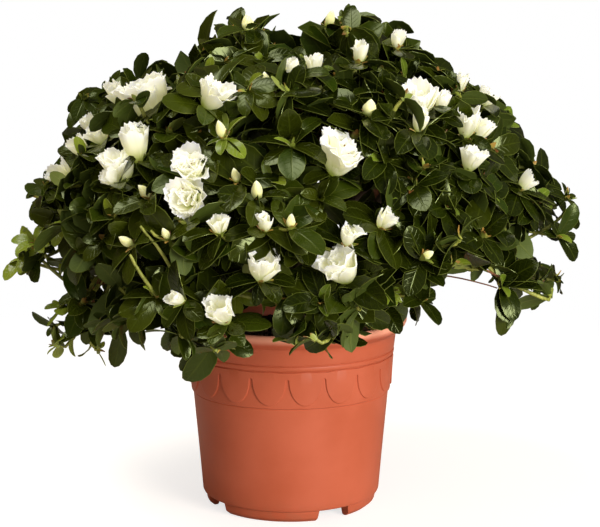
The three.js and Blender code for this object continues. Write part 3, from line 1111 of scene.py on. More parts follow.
def arc(start, leaving, end, arriving, step=7 * mm):
    """A line from start to end that leaves and arrives in the given directions."""
    length = (end - start).length
    pieces = max(3, round(length / step))
    line = []
    for i in range(pieces + 1):
        t = i / pieces
        point = (
            start * (2 * t**3 - 3 * t**2 + 1) + end * (3 * t**2 - 2 * t**3)
            + leaving * length * 0.8 * (t**3 - 2 * t**2 + t) + arriving * length * 0.8 * (t**3 - t**2)
        )
        line.append(point + wander(point) * math.sin(math.pi * t))
    return line


def shared_out(group):
    """Splits tips into two or three groups that lie apart."""
    count = 2 if len(group) < 7 else 3
    points = np.array([tip.point[:] for tip in group])
    seeds = [int(chance.integers(len(group)))]
    for _ in range(count - 1):
        gaps = np.min([np.linalg.norm(points - points[seed], axis=1) for seed in seeds], axis=0)
        seeds.append(int(gaps.argmax()))
    nearest = np.argmin([np.linalg.norm(points - points[seed], axis=1) for seed in seeds], axis=0)
    return [[tip for tip, own in zip(group, nearest) if own == part] for part in range(count)]


def grow(start, leaving, group):
    """Grows twigs from a start to a group of tips."""
    if len(group) == 1:
        tip = group[0]
        tip.line = arc(start, leaving, tip.point, tip.axis)
        twig_lines.append((tip.line, twig_radius(1.6), thinnest))
        return
    middle = sum((tip.point for tip in group), Vector()) / len(group)
    onward = (middle - start).normalized()
    fork = start.lerp(middle, chance.uniform(0.4, 0.6))
    line = arc(start, leaving, fork, onward)
    twig_lines.append((line, twig_radius(len(group) + 1), twig_radius(len(group))))
    for part in shared_out(group):
        if part:
            grow(fork, onward, part)


for mass in masses.values():
    if mass.tips:
        start, along = min(limb_points, key=lambda pair: (pair[0] - mass.centre).length)
        grow(start, along, mass.tips)
print(len(twig_lines), "twigs, and the thinnest is", round(2 * thinnest / mm, 2), "mm thick")

# %% Twigs: bare twigs and long shoots
# Bare twigs cross the gaps low on both sides, and long pale shoots lie over the leaves on the
# left. Each starts on the twig nearest to its first point.
twig_points = [point for line, _, _ in twig_lines for point in line]


def nearest_twig(point):
    return min(twig_points, key=lambda other: (other - point).length)


def between(first, last, rise=0.0):
    """A line that starts on the twig nearest to the first point and ends at the last."""
    start, along = nearest_twig(first), (last - first).normalized()
    leaving = (first - start + along * 5 * mm).normalized()
    return arc(start, leaving, last, (along + up * rise).normalized())


def from_fork(fork, *ends):
    """Bare twigs that part at a fork. Each end has its place, its rise and its thickness."""
    fork = at(*fork)
    stalk = between(fork + at(-12, 4, -4), fork)
    twig_lines.append((stalk, thinnest * 2.2, thinnest * 2))
    for *end, rise, thick in ends:
        end = at(*end)
        arriving = ((end - fork).normalized() + up * rise).normalized()
        line = arc(fork, (fork - stalk[-2]).normalized(), end, arriving)
        twig_lines.append((line, thinnest * thick, thinnest * thick * 0.8))


from_fork((86, -24, 151), (118, -20, 166, 0.5, 1.9), (124, -14, 156, 0.1, 1.3), (130, -26, 144, -0.2, 0.9))
from_fork((-100, -14, 150), (-126, -16, 142, -0.3, 1.2), (-122, -12, 134, -0.6, 0.8))
from_fork((-104, -40, 132), (-122, -30, 122, -0.2, 0.8))
long_shoots = [
    between(at(-54, -140, 173), at(-82, -141, 198), 0.3),
    between(at(-77, -138, 164), at(-88, -140, 182), 0.5),
    between(at(-70, -142, 180), at(-76, -144, 196), 0.8),
]
for tip in tips:
    if tip.foot:
        tip.line = between(tip.foot, tip.point)

# %% Twigs: leaves that hang free
# Two leaves hang below the crown, and a small spray of them over the pot's left edge. Each has
# its base, its end, its shape and the column of its tint.
hanging_leaves = [
    ((134, -20, 139), (135, -18, 111), 4, 7), ((-108, -14, 118), (-113, -12, 89), 4, 4),
    ((-42, -100, 126), (-62, -98, 99), 3, 3), ((-45, -98, 129), (-71, -94, 116), 4, 4),
    ((-48, -98, 124), (-65, -96, 106), 4, 3), ((-38, -101, 127), (-21, -103, 118), 2, 3),
    ((-44, -97, 132), (-64, -92, 130), 0, 7), ((-39, -99, 131), (-28, -100, 141), 3, 6),
]
long_shoots.append(between(at(-34, -84, 146), at(-41, -101, 127)))
for base, end, *_ in hanging_leaves[:2]:
    base, end = at(*base), at(*end)
    twig_lines.append((between(base, base.lerp(end, 0.06)), thinnest, thinnest))

# %% Twigs: tubes
green_length, sprig_length = 26 * mm, 60 * mm


def tubes(name, lines):
    """A mesh of tubes along lines, each (points, first radius, last radius)."""
    curve = bpy.data.curves.new(name, "CURVE")
    curve.dimensions = "3D"
    curve.bevel_depth = 1.0
    curve.bevel_resolution = 1
    curve.use_fill_caps = True
    for line, first, last in lines:
        spline = curve.splines.new("POLY")
        spline.points.add(len(line) - 1)
        for i, (point, spot) in enumerate(zip(spline.points, line)):
            point.co = (*spot, 1)
            point.radius = first + (last - first) * i / (len(line) - 1)
    holder = new_object(name + "_curve", curve)
    graph = bpy.context.evaluated_depsgraph_get()
    mesh = bpy.data.meshes.new_from_object(holder.evaluated_get(graph))
    bpy.data.objects.remove(holder)
    mesh.shade_smooth()
    return mesh


def shoot_part(tip):
    """The last stretch of the twig to a tip. A sprig is green over its whole length."""
    line, length = [tip.line[-1]], 0
    wanted = sprig_length if tip.foot else green_length
    for point in reversed(tip.line[:-1]):
        length += (point - line[-1]).length
        line.append(point)
        if length > wanted:
            break
    return line[::-1]


shoot_lines = [(shoot_part(tip), thinnest * 2.1, thinnest * 1.6) for tip in tips]
shoot_lines += [(line, 1.3 * mm, 0.8 * mm) for line in long_shoots]
add_piece("twigs", tubes("twigs", twig_lines), twig_bark)
add_piece("green_shoots", tubes("green_shoots", shoot_lines), shoot_skin)

# %% [markdown]
# ## The shape of a leaf
#
# An azalea's leaf is a thin, closed blade, widest past its middle, blunt with a tiny point,
# creased along the midrib and arched over its length. A grid of quads is bent into that shape,
# doubled, and bridged round its edge. Five leaves with other widths, arches and twists are
# enough, because each is turned and scaled on its own.

# %% Leaves: closed blades
# How a blade lies in its cell: half its width, where its base is, and its length.
cell_half, cell_base, cell_length = 0.45, 0.05, 0.9


def sheet_place(across, along, upper=True):
    """A place in the first cell of the sheet, for a spot on a blade."""
    return (
        (0.5 + cell_half * across) / sheet_cells,
        (cell_base + cell_length * along) / sheet_cells + (0.5 if upper else 0),
    )


def laid_out(bm, sheet_spot):
    """The shape of a bmesh. sheet_spot(face, vert) gives the place on the sheet of a corner."""
    layer = bm.loops.layers.uv[uv_name]
    for face in bm.faces:
        for loop in face.loops:
            loop[layer].uv = sheet_spot(face, loop.vert)
    return Shape(bm)


def blade(columns, stations, place, thickness):
    """A closed thin blade. place(across, along) gives a spot for -1 to 1 and 0 to 1."""
    bm = new_shape()
    rows = len(stations) - 1
    bmesh.ops.create_grid(bm, x_segments=columns, y_segments=rows, size=0.5)
    spots = {}
    for vert in bm.verts:
        spots[vert] = 2 * vert.co.x, stations[round((vert.co.y + 0.5) * rows)]
        vert.co = place(*spots[vert])
    bm.normal_update()
    upper = bm.faces[:]
    copied = bmesh.ops.duplicate(bm, geom=bm.verts[:] + bm.edges[:] + upper)
    under = [item for item in copied["geom"] if isinstance(item, bmesh.types.BMFace)]
    for vert in list(spots):
        twin = copied["vert_map"][vert]
        spots[twin] = spots[vert]
        twin.co = vert.co - vert.normal * thickness
    bmesh.ops.reverse_faces(bm, faces=under)
    bmesh.ops.bridge_loops(bm, edges=[edge for edge in bm.edges if edge.is_boundary])
    lower = set(under)
    return laid_out(bm, lambda face, vert: sheet_place(*spots[vert], face not in lower))


leaf_stations = (0, 0.12, 0.33, 0.58, 0.79, 0.93, 1)
plain_stations = (0, 0.2, 0.5, 0.8, 1)
widest = 0.58


def leaf(width, arch, fold, curl, twist, columns=4, stations=leaf_stations):
    """A leaf one unit long that lies along +Y with its upper side towards +Z."""
    def place(across, along):
        outline = (along / widest) ** 0.78 * ((1 - along) / (1 - widest)) ** 0.64
        half = width / 2 * max(outline, 0.07 if along < 0.5 else 0.04)
        first_rise = 0.35 * arch
        bend = arch * along - first_rise
        ahead = (math.sin(bend) + math.sin(first_rise)) / arch
        fall = (math.cos(bend) - math.cos(first_rise)) / arch
        rise = (fold * abs(across) - curl * across**2) * half
        roll = twist * along
        x = across * half * math.cos(roll) - rise * math.sin(roll)
        rise = across * half * math.sin(roll) + rise * math.cos(roll)
        return Vector((x, ahead + rise * math.sin(bend), fall + rise * math.cos(bend)))
    return blade(columns, stations, place, 0.011)


# Each leaf's width, arch, fold along the midrib, curl of the margins and twist.
leaf_shapes = [
    leaf(0.57, 0.55, 0.22, 0.12, 0.10), leaf(0.52, 0.95, 0.32, 0.14, -0.30),
    leaf(0.61, 0.40, 0.16, 0.24, 0.05), leaf(0.48, 0.75, 0.34, 0.0, 0.40, 2),
    leaf(0.40, 0.50, 0.38, 0.0, -0.15, 2),
]
plain_leaf = leaf(0.55, 0.6, 0.3, 0.0, 0.1, 2, plain_stations)
print("a leaf has", len(leaf_shapes[0].sizes), "faces, a plain one", len(plain_leaf.sizes))

# %% Leaves: placing a blade
def blade_matrix(base, direction, facing, size):
    """Stands a blade at its base, along a direction, with its upper side towards facing."""
    side = direction.cross(facing).normalized()
    return axes_matrix(base, side, direction, side.cross(direction)) @ Matrix.Scale(size, 4)


def around(axis, azimuth, lift):
    """A direction at an azimuth round an axis, lifted towards it, and the side that faces up it."""
    first = axis.orthogonal().normalized()
    second = axis.cross(first)
    out = first * math.cos(azimuth) + second * math.sin(azimuth)
    return out * math.cos(lift) + axis * math.sin(lift), axis * math.cos(lift) - out * math.sin(lift)

# %% Leaves: what they keep clear of
# Balls round each flower that leaves keep out of: how far each is along the flower's axis and
# out of the crown, and its radius, as shares of the flower's size.
zone_shares = {
    "ruffled": [(0.45, 0, 0.55), (0.9, 0, 0.72), (0.6, 0.6, 0.6)],
    "half": [(0.45, 0, 0.42), (0.95, 0, 0.58), (0.6, 0.6, 0.52)],
    "flared": [(0.45, 0, 0.42), (0.95, 0, 0.6), (0.6, 0.6, 0.52)],
}
plain_zones = [(0.45, 0, 0.42), (0.9, 0, 0.45), (0.6, 0.6, 0.42)]
flower_zones = []
for tip in tips:
    if tip.kind != "leafy":
        for along, ahead, room in zone_shares.get(tip.kind, plain_zones):
            centre = tip.point + tip.axis * tip.size * along + tip.out * tip.size * ahead
            flower_zones.append((centre, tip.size * room))


def over_flower(point):
    return any((point - centre).length < room for centre, room in flower_zones)


def in_wall(point):
    """Whether a point is in the soil or in the pot's upper wall."""
    radius = point.xy.length
    over_soil = point.z < soil_height + 2 * mm and radius < 78 * mm
    return over_soil or (point.z < lip_height + 3 * mm and 60 * mm < radius < 78 * mm)


def proud(point):
    """How far a point stands out of the masses."""
    nearest, normal, _, gap = crown_surface.find_nearest(point)
    return gap if (point - nearest).dot(normal) > 0 else 0.0


print(len(flower_zones), "balls keep leaves off the flowers")

# %% Leaves: the rule for one leaf
leaf_tries = 5
droop = 0.22
# Places on a blade one unit long, from its middle to its tip, that have to be clear.
blade_spots = [Vector((0, 0.45, 0)), Vector((0, 0.75, -0.05)), Vector((0, 1, -0.2))]
# Which of the leaf shapes a leaf may have.
usual_kinds, small_kinds, sprig_kinds = (0, 1, 2, 3), (3, 4), (1, 3, 4)
small_leaf = 13 * mm
last_column = sheet_cells - 1


def leaf_deal(tip, base, axis, azimuth, lift, length, tint):
    """One leaf. It is turned and shortened where it would be in the way, and may be left out."""
    stray = tip.stray
    allowed = 100 * mm if stray else min(1 + chance.exponential(4), 15) * mm + max(0, swell(base))
    for _ in range(leaf_tries):
        direction, facing = around(axis, azimuth, lift)
        direction = direction if stray else (direction - up * droop).normalized()
        turned_out = Vector((0, -0.8, 0)) if stray else up * 0.25
        facing = (facing + turned_out + Vector(chance.normal(0, 0.18, 3))).normalized()
        matrix = blade_matrix(base, direction, facing, length)
        spots = [matrix @ spot for spot in blade_spots]
        blocked = any(in_wall(spot) or over_flower(spot) or in_daylight(spot) for spot in spots)
        blocked = blocked or any(too_high(spot, tip.overshoot) for spot in spots[1:])
        if not blocked and proud(spots[-1]) < allowed:
            kinds = usual_kinds if length > small_leaf else small_kinds
            kind = int(chance.choice(sprig_kinds if tip.foot else kinds))
            column = int(np.clip(round(chance.normal(tint, 1.6)), 0, last_column))
            return kind, matrix, column, random_row()
        azimuth += chance.uniform(-0.7, 0.7)
        lift += chance.uniform(-0.3, 0.3)
        length *= 0.9
    return None

# %% Leaves: the leaves of one shoot
leaf_length = 27 * mm
young_share = 0.35
golden_angle = math.radians(137.5)


def dress(tip, own, young):
    """The leaves of one shoot: a whorl, some small ones inside it and single ones below."""
    # The tint rises to the left of the crown and falls to the right: painted light on the left, away from
    # the key light, and painted shade on the right, which the key light reaches. Sprigs are three columns
    # lighter.
    tint = chance.normal(2.2 - tip.point.x / (30 * mm) + (3 if tip.foot else 0), 1.4)
    sparse = "spray" in tip.mass.name
    length = leaf_length * tip.vigour * (0.72 if tip.foot else 0.95 if sparse else 1)
    start = chance.uniform(0, math.tau)
    count = int(chance.integers(4, 6) if sparse else chance.integers(5, 9))
    for i in range(count):
        azimuth = start + math.tau * i / count + chance.normal(0, 0.2)
        lift = math.radians(np.clip(chance.normal(12, 15), -20, 45))
        size = length * chance.uniform(0.68, 1.12)
        own.append(leaf_deal(tip, tip.point, tip.axis, azimuth, lift, size, tint))
    if tip.kind == "leafy":
        for i in range(int(chance.integers(1, 4))):
            lift = math.radians(chance.uniform(40, 70))
            small = length * chance.uniform(0.35, 0.6)
            chosen = young if chance.random() < young_share else own
            azimuth = start + 2.2 * i + 1
            chosen.append(leaf_deal(tip, tip.point, tip.axis, azimuth, lift, small, tint + 1.5))
    walked, last = 0, tip.line[-1]
    for i, point in enumerate(reversed(tip.line[:-1])):
        walked += (point - last).length
        along, last = (last - point).normalized(), point
        leafy_length = 14 if sparse or open_side(point) else 34
        if walked > (30 if tip.foot else leafy_length) * mm:
            break
        if tip.foot and i % 2:
            continue
        lift = math.radians(chance.uniform(5, 40))
        below = length * chance.uniform(0.65, 1.0)
        azimuth = start + golden_angle * (i + 1)
        own.append(leaf_deal(tip, point, along, azimuth, lift, below, tint - 0.6))

# %% [markdown]
# ## The finish of a leaf
#
# The upper side is dark, glossy green with an impressed midrib, fine side veins that curve to
# the tip and a thin pale margin, which is a painted highlight along the edge. The underside is
# lighter, duller and yellower. One group draws this from the sheet: the fraction inside a cell
# says where on the blade a point is, the half of the sheet says which side, and the cell's column
# gives the tint of that spray, into which light and shade are painted across the crown.

# %% Finish: places on the sheet
sheet, given, result = new_group(
    "blade_sheet", [("UV", "Vector")],
    [(label, "Float") for label in ("Across", "Along", "Upper", "Tint", "Chance")],
)
split = add(sheet, "SeparateXYZ", given["UV"]).outputs
wide = maths(sheet, "MULTIPLY", split["X"], sheet_cells)
high = maths(sheet, "MULTIPLY", split["Y"], sheet_cells)
column, row = maths(sheet, "FLOOR", wide), maths(sheet, "FLOOR", high)
across = maths(sheet, "SUBTRACT", maths(sheet, "FRACT", wide), 0.5)
plug(sheet, result["Across"], maths(sheet, "DIVIDE", across, cell_half))
along = maths(sheet, "SUBTRACT", maths(sheet, "FRACT", high), cell_base)
plug(sheet, result["Along"], maths(sheet, "DIVIDE", along, cell_length))
plug(sheet, result["Upper"], maths(sheet, "GREATER_THAN", split["Y"], 0.5))
plug(sheet, result["Tint"], maths(sheet, "DIVIDE", column, sheet_cells - 1))
half_row = maths(sheet, "MODULO", row, sheet_cells // 2)
dice = sheet.nodes.new("ShaderNodeTexWhiteNoise")
plug(sheet, dice.inputs["Vector"], add(sheet, "CombineXYZ", column, half_row).outputs[0])
plug(sheet, result["Chance"], dice.outputs["Value"])


def sheet_uv(tree):
    made = tree.nodes.new("ShaderNodeUVMap")
    made.uv_map = uv_name
    return made.outputs[0]

# %% Finish: leaf markings
leaf_colours = ("Dark", "Light", "Vein", "Margin", "Underside", "Fresh")
markings, given, result = new_group(
    "leaf_markings", [("UV", "Vector")] + [(label, "Color") for label in leaf_colours],
    [("Color", "Color"), ("Roughness", "Float"), ("Height", "Float")],
)
on = use_group(markings, sheet, UV=given["UV"])
aside = maths(markings, "ABSOLUTE", on["Across"])
midrib = ease(markings, aside, 0.11, 0.02)
slanted = maths(markings, "MULTIPLY_ADD", aside, -0.22, on["Along"])
repeats = maths(markings, "FRACT", maths(markings, "MULTIPLY", slanted, 7.0))
waves = maths(markings, "ABSOLUTE", maths(markings, "SUBTRACT", repeats, 0.5))
side_vein = maths(markings, "MULTIPLY", ease(markings, waves, 0.10, 0.0), ease(markings, aside, 0.95, 0.6))
veins = maths(markings, "MAXIMUM", midrib, maths(markings, "MULTIPLY", side_vein, 0.45))
shifted = maths(markings, "MULTIPLY_ADD", on["Chance"], 0.3, maths(markings, "MULTIPLY", on["Tint"], 0.85))
mottled = speckle(markings, given["UV"], 75, 3)
body = maths(markings, "MULTIPLY_ADD", maths(markings, "SUBTRACT", mottled, 0.5), 0.5, shifted)
upper = mixed(markings, body, given["Dark"], given["Light"])
greener = maths(markings, "MULTIPLY", ease(markings, on["Chance"], 0.45, 1.0), 0.55)
upper = mixed(markings, greener, upper, given["Fresh"])
upper = mixed(markings, maths(markings, "MULTIPLY", veins, 0.6), upper, given["Vein"])
# A thin band along the upper margin is painted pale: a painted highlight along the leaf's edge. Underneath,
# the same colour marks the pale veins.
upper = mixed(markings, ease(markings, aside, 0.93, 1.0), upper, given["Margin"])
under = mixed(markings, maths(markings, "MULTIPLY", veins, 0.5), given["Underside"], given["Margin"])
plug(markings, result["Color"], mixed(markings, on["Upper"], under, upper))
gloss = maths(markings, "MULTIPLY_ADD", on["Chance"], 0.16, 0.11)
below = maths(markings, "SUBTRACT", 1.0, on["Upper"])
plug(markings, result["Roughness"], maths(markings, "MULTIPLY_ADD", below, 0.35, gloss))
pads = maths(markings, "MULTIPLY", maths(markings, "SUBTRACT", 1.0, veins), 0.8)
plug(markings, result["Height"], maths(markings, "MULTIPLY_ADD", mottled, 0.25, pads))
print("the leaf's markings take", len(markings.nodes), "nodes")


def leaf_finish(name, *colours, **numbers):
    """A leaf's material. Its colours come in the order of leaf_colours."""
    made, tree, shader = new_material(name, **numbers)
    fields = use_group(tree, markings, UV=sheet_uv(tree), **dict(zip(leaf_colours, colours)))
    plug(tree, shader["Base Color"], fields["Color"])
    plug(tree, shader["Roughness"], fields["Roughness"])
    relief(tree, shader, fields["Height"], 0.3 * mm, 0.5)
    return made


dark_leaf = leaf_finish(
    "glossy_leaf", colour(0.0064, 0.0102, 0.0006), colour(0.032, 0.0405, 0.002), colour(0.041, 0.054, 0.004),
    colour(0.095, 0.115, 0.018), colour(0.046, 0.066, 0.009), colour(0.015, 0.035, 0.0015),
    IOR=1.5, Specular_IOR_Level=0.45, Specular_Tint=colour(0.86, 1.0, 0.48),
)
young_leaf = leaf_finish(
    "young_leaf", colour(0.075, 0.12, 0.008), colour(0.22, 0.27, 0.02), colour(0.28, 0.33, 0.06),
    colour(0.32, 0.36, 0.09), colour(0.24, 0.29, 0.05), colour(0.13, 0.20, 0.015), IOR=1.45,
)

# %% Leaves: the pieces
sector_names = ("right", "back", "left", "front")


def sector_of(mass):
    """The quarter of the crown that a mass is in, as the leaves are too many for one piece."""
    azimuth = math.degrees(math.atan2(mass.centre.y, mass.centre.x))
    return sector_names[int(((azimuth + 45) % 360) // 90)]


leaf_deals = {sector: [] for sector in sector_names}
young_deals = []
for tip in tips:
    fresh = chance.random() < tip.fresh_share
    if fresh and not tip.foot:
        tip.vigour *= 0.6
    dress(tip, young_deals if fresh else leaf_deals[sector_of(tip.mass)], young_deals)
for base, end, kind, column in hanging_leaves:
    along = (Vector(end) - Vector(base)) * mm
    matrix = blade_matrix(Vector(base) * mm, along.normalized(), Vector((0.3, -1, 0.3)), along.length)
    leaf_deals["front"].append((kind, matrix, column, 2))
young_deals = [deal for deal in young_deals if deal]

for sector in sector_names:
    replaced = [mass.name for mass in masses.values() if sector_of(mass) == sector]
    leaf_deals[sector] = [deal for deal in leaf_deals[sector] if deal]
    mesh = dealt_mesh("leaves_" + sector, leaf_shapes, leaf_deals[sector])
    add_piece("leaves_" + sector, mesh, dark_leaf, replaced)
add_piece("young_leaves", dealt_mesh("young_leaves", leaf_shapes, young_deals), young_leaf)


# Inner leaves take tints from the middle of the sheet, lighter than the darkest: painted light that lifts
# the deep shade inside the crown.
painted_light_columns = (2, 6)


def inner_deals(step=7 * mm):
    """Older leaves along the boughs and twigs inside the crown, plain as little of them shows."""
    lines = [line for line, first, _ in twig_lines if first > twig_radius(2)]
    for limb in limbs.values():
        if limb.name != "stem":
            line, _ = smooth_line(limb.points, limb.radii, 8 * mm)
            lines += [line[len(line) // 4:]] * 2
    deals = []
    for line in lines:
        for near, far in zip(line, line[1:]):
            for _ in range(round((far - near).length / step + chance.random())):
                if open_side(near):
                    continue
                lift, azimuth = chance.uniform(0.1, 0.9), chance.uniform(0, math.tau)
                direction, facing = around((far - near).normalized(), azimuth, lift)
                matrix = blade_matrix(near, direction, facing + up * 0.6, chance.uniform(25, 36) * mm)
                middle, end = matrix @ Vector((0, 0.5, 0)), matrix @ blade_spots[-1]
                blocked = in_wall(middle) or in_wall(end) or over_flower(end) or in_daylight(end)
                if not blocked and proud(end) < 2 * mm:
                    deals.append((0, matrix, int(chance.integers(*painted_light_columns)), random_row()))
    return deals


inner = inner_deals()
add_piece("inner_leaves", dealt_mesh("inner_leaves", [plain_leaf], inner), dark_leaf)
print(sum(map(len, leaf_deals.values())) + len(young_deals), "leaves and", len(inner), "inner ones")

# %% [markdown]
# ## Petals
#
# The flowers are white, and yellow-green towards the base. A petal is a broad blade that starts
# in a narrow tube, widens, opens outwards and ends in a wavy, finely toothed margin. Five kinds
# of petal, from closed to wide open, are dealt in rings to make every bloom.

# %% Flowers: petal shapes
petal_stations = (0, 0.14, 0.36, 0.62, 0.86, 1)
petal_columns = 10


def petal(width, base_tilt, tip_tilt, cup, frill, seed):
    """A petal one unit long on the +Y side of a flower that points along +Z."""
    teeth = np.random.default_rng(seed).uniform(0.01, 0.055, petal_columns + 1)

    def place(across, along):
        # The margin is rounded, and toothed over its last stretch.
        column = round((across + 1) / 2 * petal_columns)
        tooth = teeth[column] * (-1) ** column * max(0, along - 0.88) / 0.12
        reach = along * (1 - 0.18 * abs(across) ** 2.6 * along) + tooth
        # The middle line is walked in short steps, as the petal's tilt changes on the way.
        steps = 14
        out, rise, tilt = 0.05, 0.0, base_tilt
        for step in range(steps):
            done = reach * (step + 0.5) / steps
            tilt = base_tilt * max(0, 1 - done) ** 2 + tip_tilt * done**3
            out += math.sin(tilt) * reach / steps
            rise += math.cos(tilt) * reach / steps
        # Across, the petal bows round the flower's axis, and is frilled towards its end.
        widening = min(1, along / 0.5)
        half = width / 2 * (0.28 + 0.72 * widening**2 * (3 - 2 * widening)) * (1 - 0.12 * along**4)
        bow = cup * max(out, 0.13)
        turn = across * half / bow
        inward = bow * (1 - math.cos(turn))
        wave = noise.noise(Vector((across * 1.7, along * 1.3, seed * 3.7)))
        wave += 0.5 * max(0, along - 0.5) * math.sin(across * 7 + seed * 2)
        inward += frill * along**2 * wave
        return Vector((
            bow * math.sin(turn), out - inward * math.cos(tilt), rise + inward * math.sin(tilt),
        ))
    return blade(petal_columns, petal_stations, place, 0.016)


# Each kind's width, tilt at the base and at the tip, cup and frill. It has two variants.
petal_shapes, petal_kinds = [], {}
for kind, settings in {
    "wide": (0.92, 0.95, 1.20, 1.25, 0.18), "outer": (0.80, 0.98, 0.30, 1.06, 0.13),
    "inner": (0.62, 0.70, 0.34, 1.08, 0.17), "closed": (0.70, 0.80, 0.02, 1.0, 0.09),
    "crumpled": (0.56, 0.45, 0.60, 1.25, 0.30),
}.items():
    petal_kinds[kind] = [len(petal_shapes), len(petal_shapes) + 1]
    petal_shapes += [petal(*settings, seed) for seed in (1, 2)]

# Rings of each bloom, from outside in: petals, shape, tilt in degrees, size.
bloom_rings = {
    "flared": [(5, "wide", 0, 1.0), (4, "outer", 2, 0.96), (3, "inner", 3, 0.95), (2, "crumpled", 2, 0.88)],
    "half": [(4, "outer", 0, 1.0), (3, "outer", -6, 0.97), (3, "inner", 0, 0.93), (2, "crumpled", 0, 0.85)],
    "ruffled": [(5, "wide", 0, 1.0), (5, "outer", 10, 0.9), (4, "inner", 6, 0.86), (6, "crumpled", 0, 0.84)],
    "tight": [(3, "closed", 0, 0.95), (3, "closed", -6, 1.0), (1, "crumpled", -8, 0.95)],
}
print("a petal has", len(petal_shapes[0].sizes), "faces")

# %% Flowers: buds, bracts and stamens
def bud_shape(slimness, fold):
    """A pointed bud one unit long, with its petals wound round it."""
    bm = new_shape()
    bmesh.ops.create_uvsphere(bm, u_segments=20, v_segments=12, radius=1)
    spots = {}
    for vert in bm.verts:
        along = (vert.co.z + 1) / 2
        along = math.acos(1 - 2 * along) / math.pi
        azimuth = math.atan2(vert.co.y, vert.co.x)
        radius = math.sin(math.pi * along**0.82) ** 0.8 / slimness / 2
        # Three petals are wound round, and each stands out over the next one's edge.
        wrap = (3 * azimuth / math.tau + 0.9 * along) % 1
        radius *= 1 + fold * (wrap - 0.5) * min(1, 4 * along)
        spots[vert] = math.sin(azimuth), along
        vert.co = Vector((radius * math.cos(azimuth), radius * math.sin(azimuth), along))
    return laid_out(bm, lambda face, vert: sheet_place(*spots[vert]))


def scale_shape(width, spread):
    """A bud scale or bract one unit long that hugs a bud."""
    def place(across, along):
        half = width / 2 * math.sin(math.pi * (0.12 + 0.85 * along)) ** 0.8
        out = 0.16 + spread * along**2 - 0.35 * across**2 * half
        return Vector((across * half, out, along))
    return blade(2, (0, 0.35, 0.7, 1), place, 0.05)


def stamen_shape():
    """A thin filament one unit long, with its anther on the end."""
    bm = new_shape()
    bmesh.ops.create_cone(
        bm, cap_ends=True, segments=5, radius1=0.012, radius2=0.009, depth=1,
        matrix=Matrix.Translation(up / 2),
    )
    filament = set(bm.faces)
    bmesh.ops.create_icosphere(bm, subdivisions=1, radius=0.032, matrix=Matrix.Translation(up))
    return laid_out(bm, lambda face, vert: sheet_place(0, 0.3 if face in filament else 0.95))


bud_shapes = [bud_shape(1.5, 0.2), bud_shape(2.1, 0.16)]
scale_shapes = [scale_shape(0.55, 0.10), scale_shape(0.42, 0.45)]
stamen_shapes = [stamen_shape()]

# %% Flowers: dealing them out
petal_deals, bud_deals, scale_deals, stamen_deals = [], [], [], []


def stand(point, axis):
    """A matrix that stands a flower at a point, along its axis, with a random spin."""
    spin = chance.uniform(0, math.tau)
    side = axis.orthogonal().normalized()
    return axes_matrix(point, side, axis.cross(side), axis) @ Matrix.Rotation(spin, 4, "Z")


def leant(base, azimuth, lean, size):
    """A matrix that turns a shape round a flower's axis, leans it out and scales it."""
    spun = base @ Matrix.Rotation(azimuth, 4, "Z") @ Matrix.Rotation(-lean, 4, "X")
    return spun @ Matrix.Scale(size, 4)


def bloom(tip):
    """Rings of petals, and stamens where the flower is open enough to show them."""
    base = stand(tip.point, tip.axis)
    column = int(chance.integers(sheet_cells))
    for ring, (count, kind, tilt, size) in enumerate(bloom_rings[tip.kind]):
        for i in range(count):
            azimuth = math.tau * (i + 0.5 * ring) / count + chance.normal(0, 0.18)
            lean = math.radians(tilt + chance.normal(0, 8))
            matrix = leant(base, azimuth, lean, tip.size * size * chance.uniform(0.76, 1.10))
            shape = petal_kinds[kind][int(chance.integers(2))]
            petal_deals.append((shape, matrix, column, ring))
    if tip.kind in ("flared", "ruffled"):
        for i in range(5):
            lean = -chance.uniform(0.05, 0.35)
            matrix = leant(base, math.tau * i / 7, lean, tip.size * chance.uniform(0.6, 0.8))
            stamen_deals.append((0, matrix, *random_cell()))


def bud(tip):
    """A closed bud, plump or slender."""
    kind = bud_kinds.index(tip.kind)
    matrix = stand(tip.point, tip.axis) @ Matrix.Scale(tip.size, 4)
    bud_deals.append((kind, matrix, *random_cell()))


bract_length = 6.5 * mm


def bracts(tip):
    """Six scales round the foot of a flower or a bud, or the three of a leaf bud."""
    base = stand(tip.point - tip.axis * 0.8 * mm, tip.axis)
    size = bract_length
    if tip.kind in bud_kinds or tip.kind in ("tight", "half"):
        size = max(size, tip.size * 0.38)
    for i in range(3 if tip.kind == "leafy" else 6):
        length = size * chance.uniform(0.75, 1.15) * (1 if i < 4 else 0.7)
        matrix = leant(base, golden_angle * i, chance.uniform(0.05, 0.5), length)
        scale_deals.append((i % 2, matrix, *random_cell()))


for tip in tips:
    if tip.kind in bloom_kinds:
        bloom(tip)
    elif tip.kind in bud_kinds:
        bud(tip)
    bracts(tip)

# %% Finish: petals, buds and bracts
# A painted glow in the petals, as a share of their colour, which stands in for the light that passes through
# them.
painted_petal_glow = 0.13


def petal_finish(name, foot, body, edge, foot_end, streak=0.25):
    made, tree, shader = new_material(
        name, Roughness=0.5, IOR=1.38, Subsurface_Weight=0.7, Subsurface_Scale=0.004,
    )
    shader["Subsurface Radius"].default_value = (1.0, 0.95, 0.6)
    # The petals glow faintly in their own colour: painted light for the light that passes through them.
    shader["Emission Strength"].default_value = painted_petal_glow
    place = sheet_uv(tree)
    on = use_group(tree, sheet, UV=place)
    lines = speckle(tree, squeezed(tree, place, (1, 0.08, 1)), 190)
    wander = maths(tree, "MULTIPLY_ADD", maths(tree, "SUBTRACT", lines, 0.5), streak, on["Along"])
    shade = mixed(tree, ease(tree, wander, 0.02, foot_end), foot, body)
    shade = mixed(tree, ease(tree, wander, 0.6, 1.0), shade, edge)
    plug(tree, shader["Base Color"], shade)
    plug(tree, shader["Emission Color"], shade)
    relief(tree, shader, lines, 0.25 * mm, 0.4)
    return made


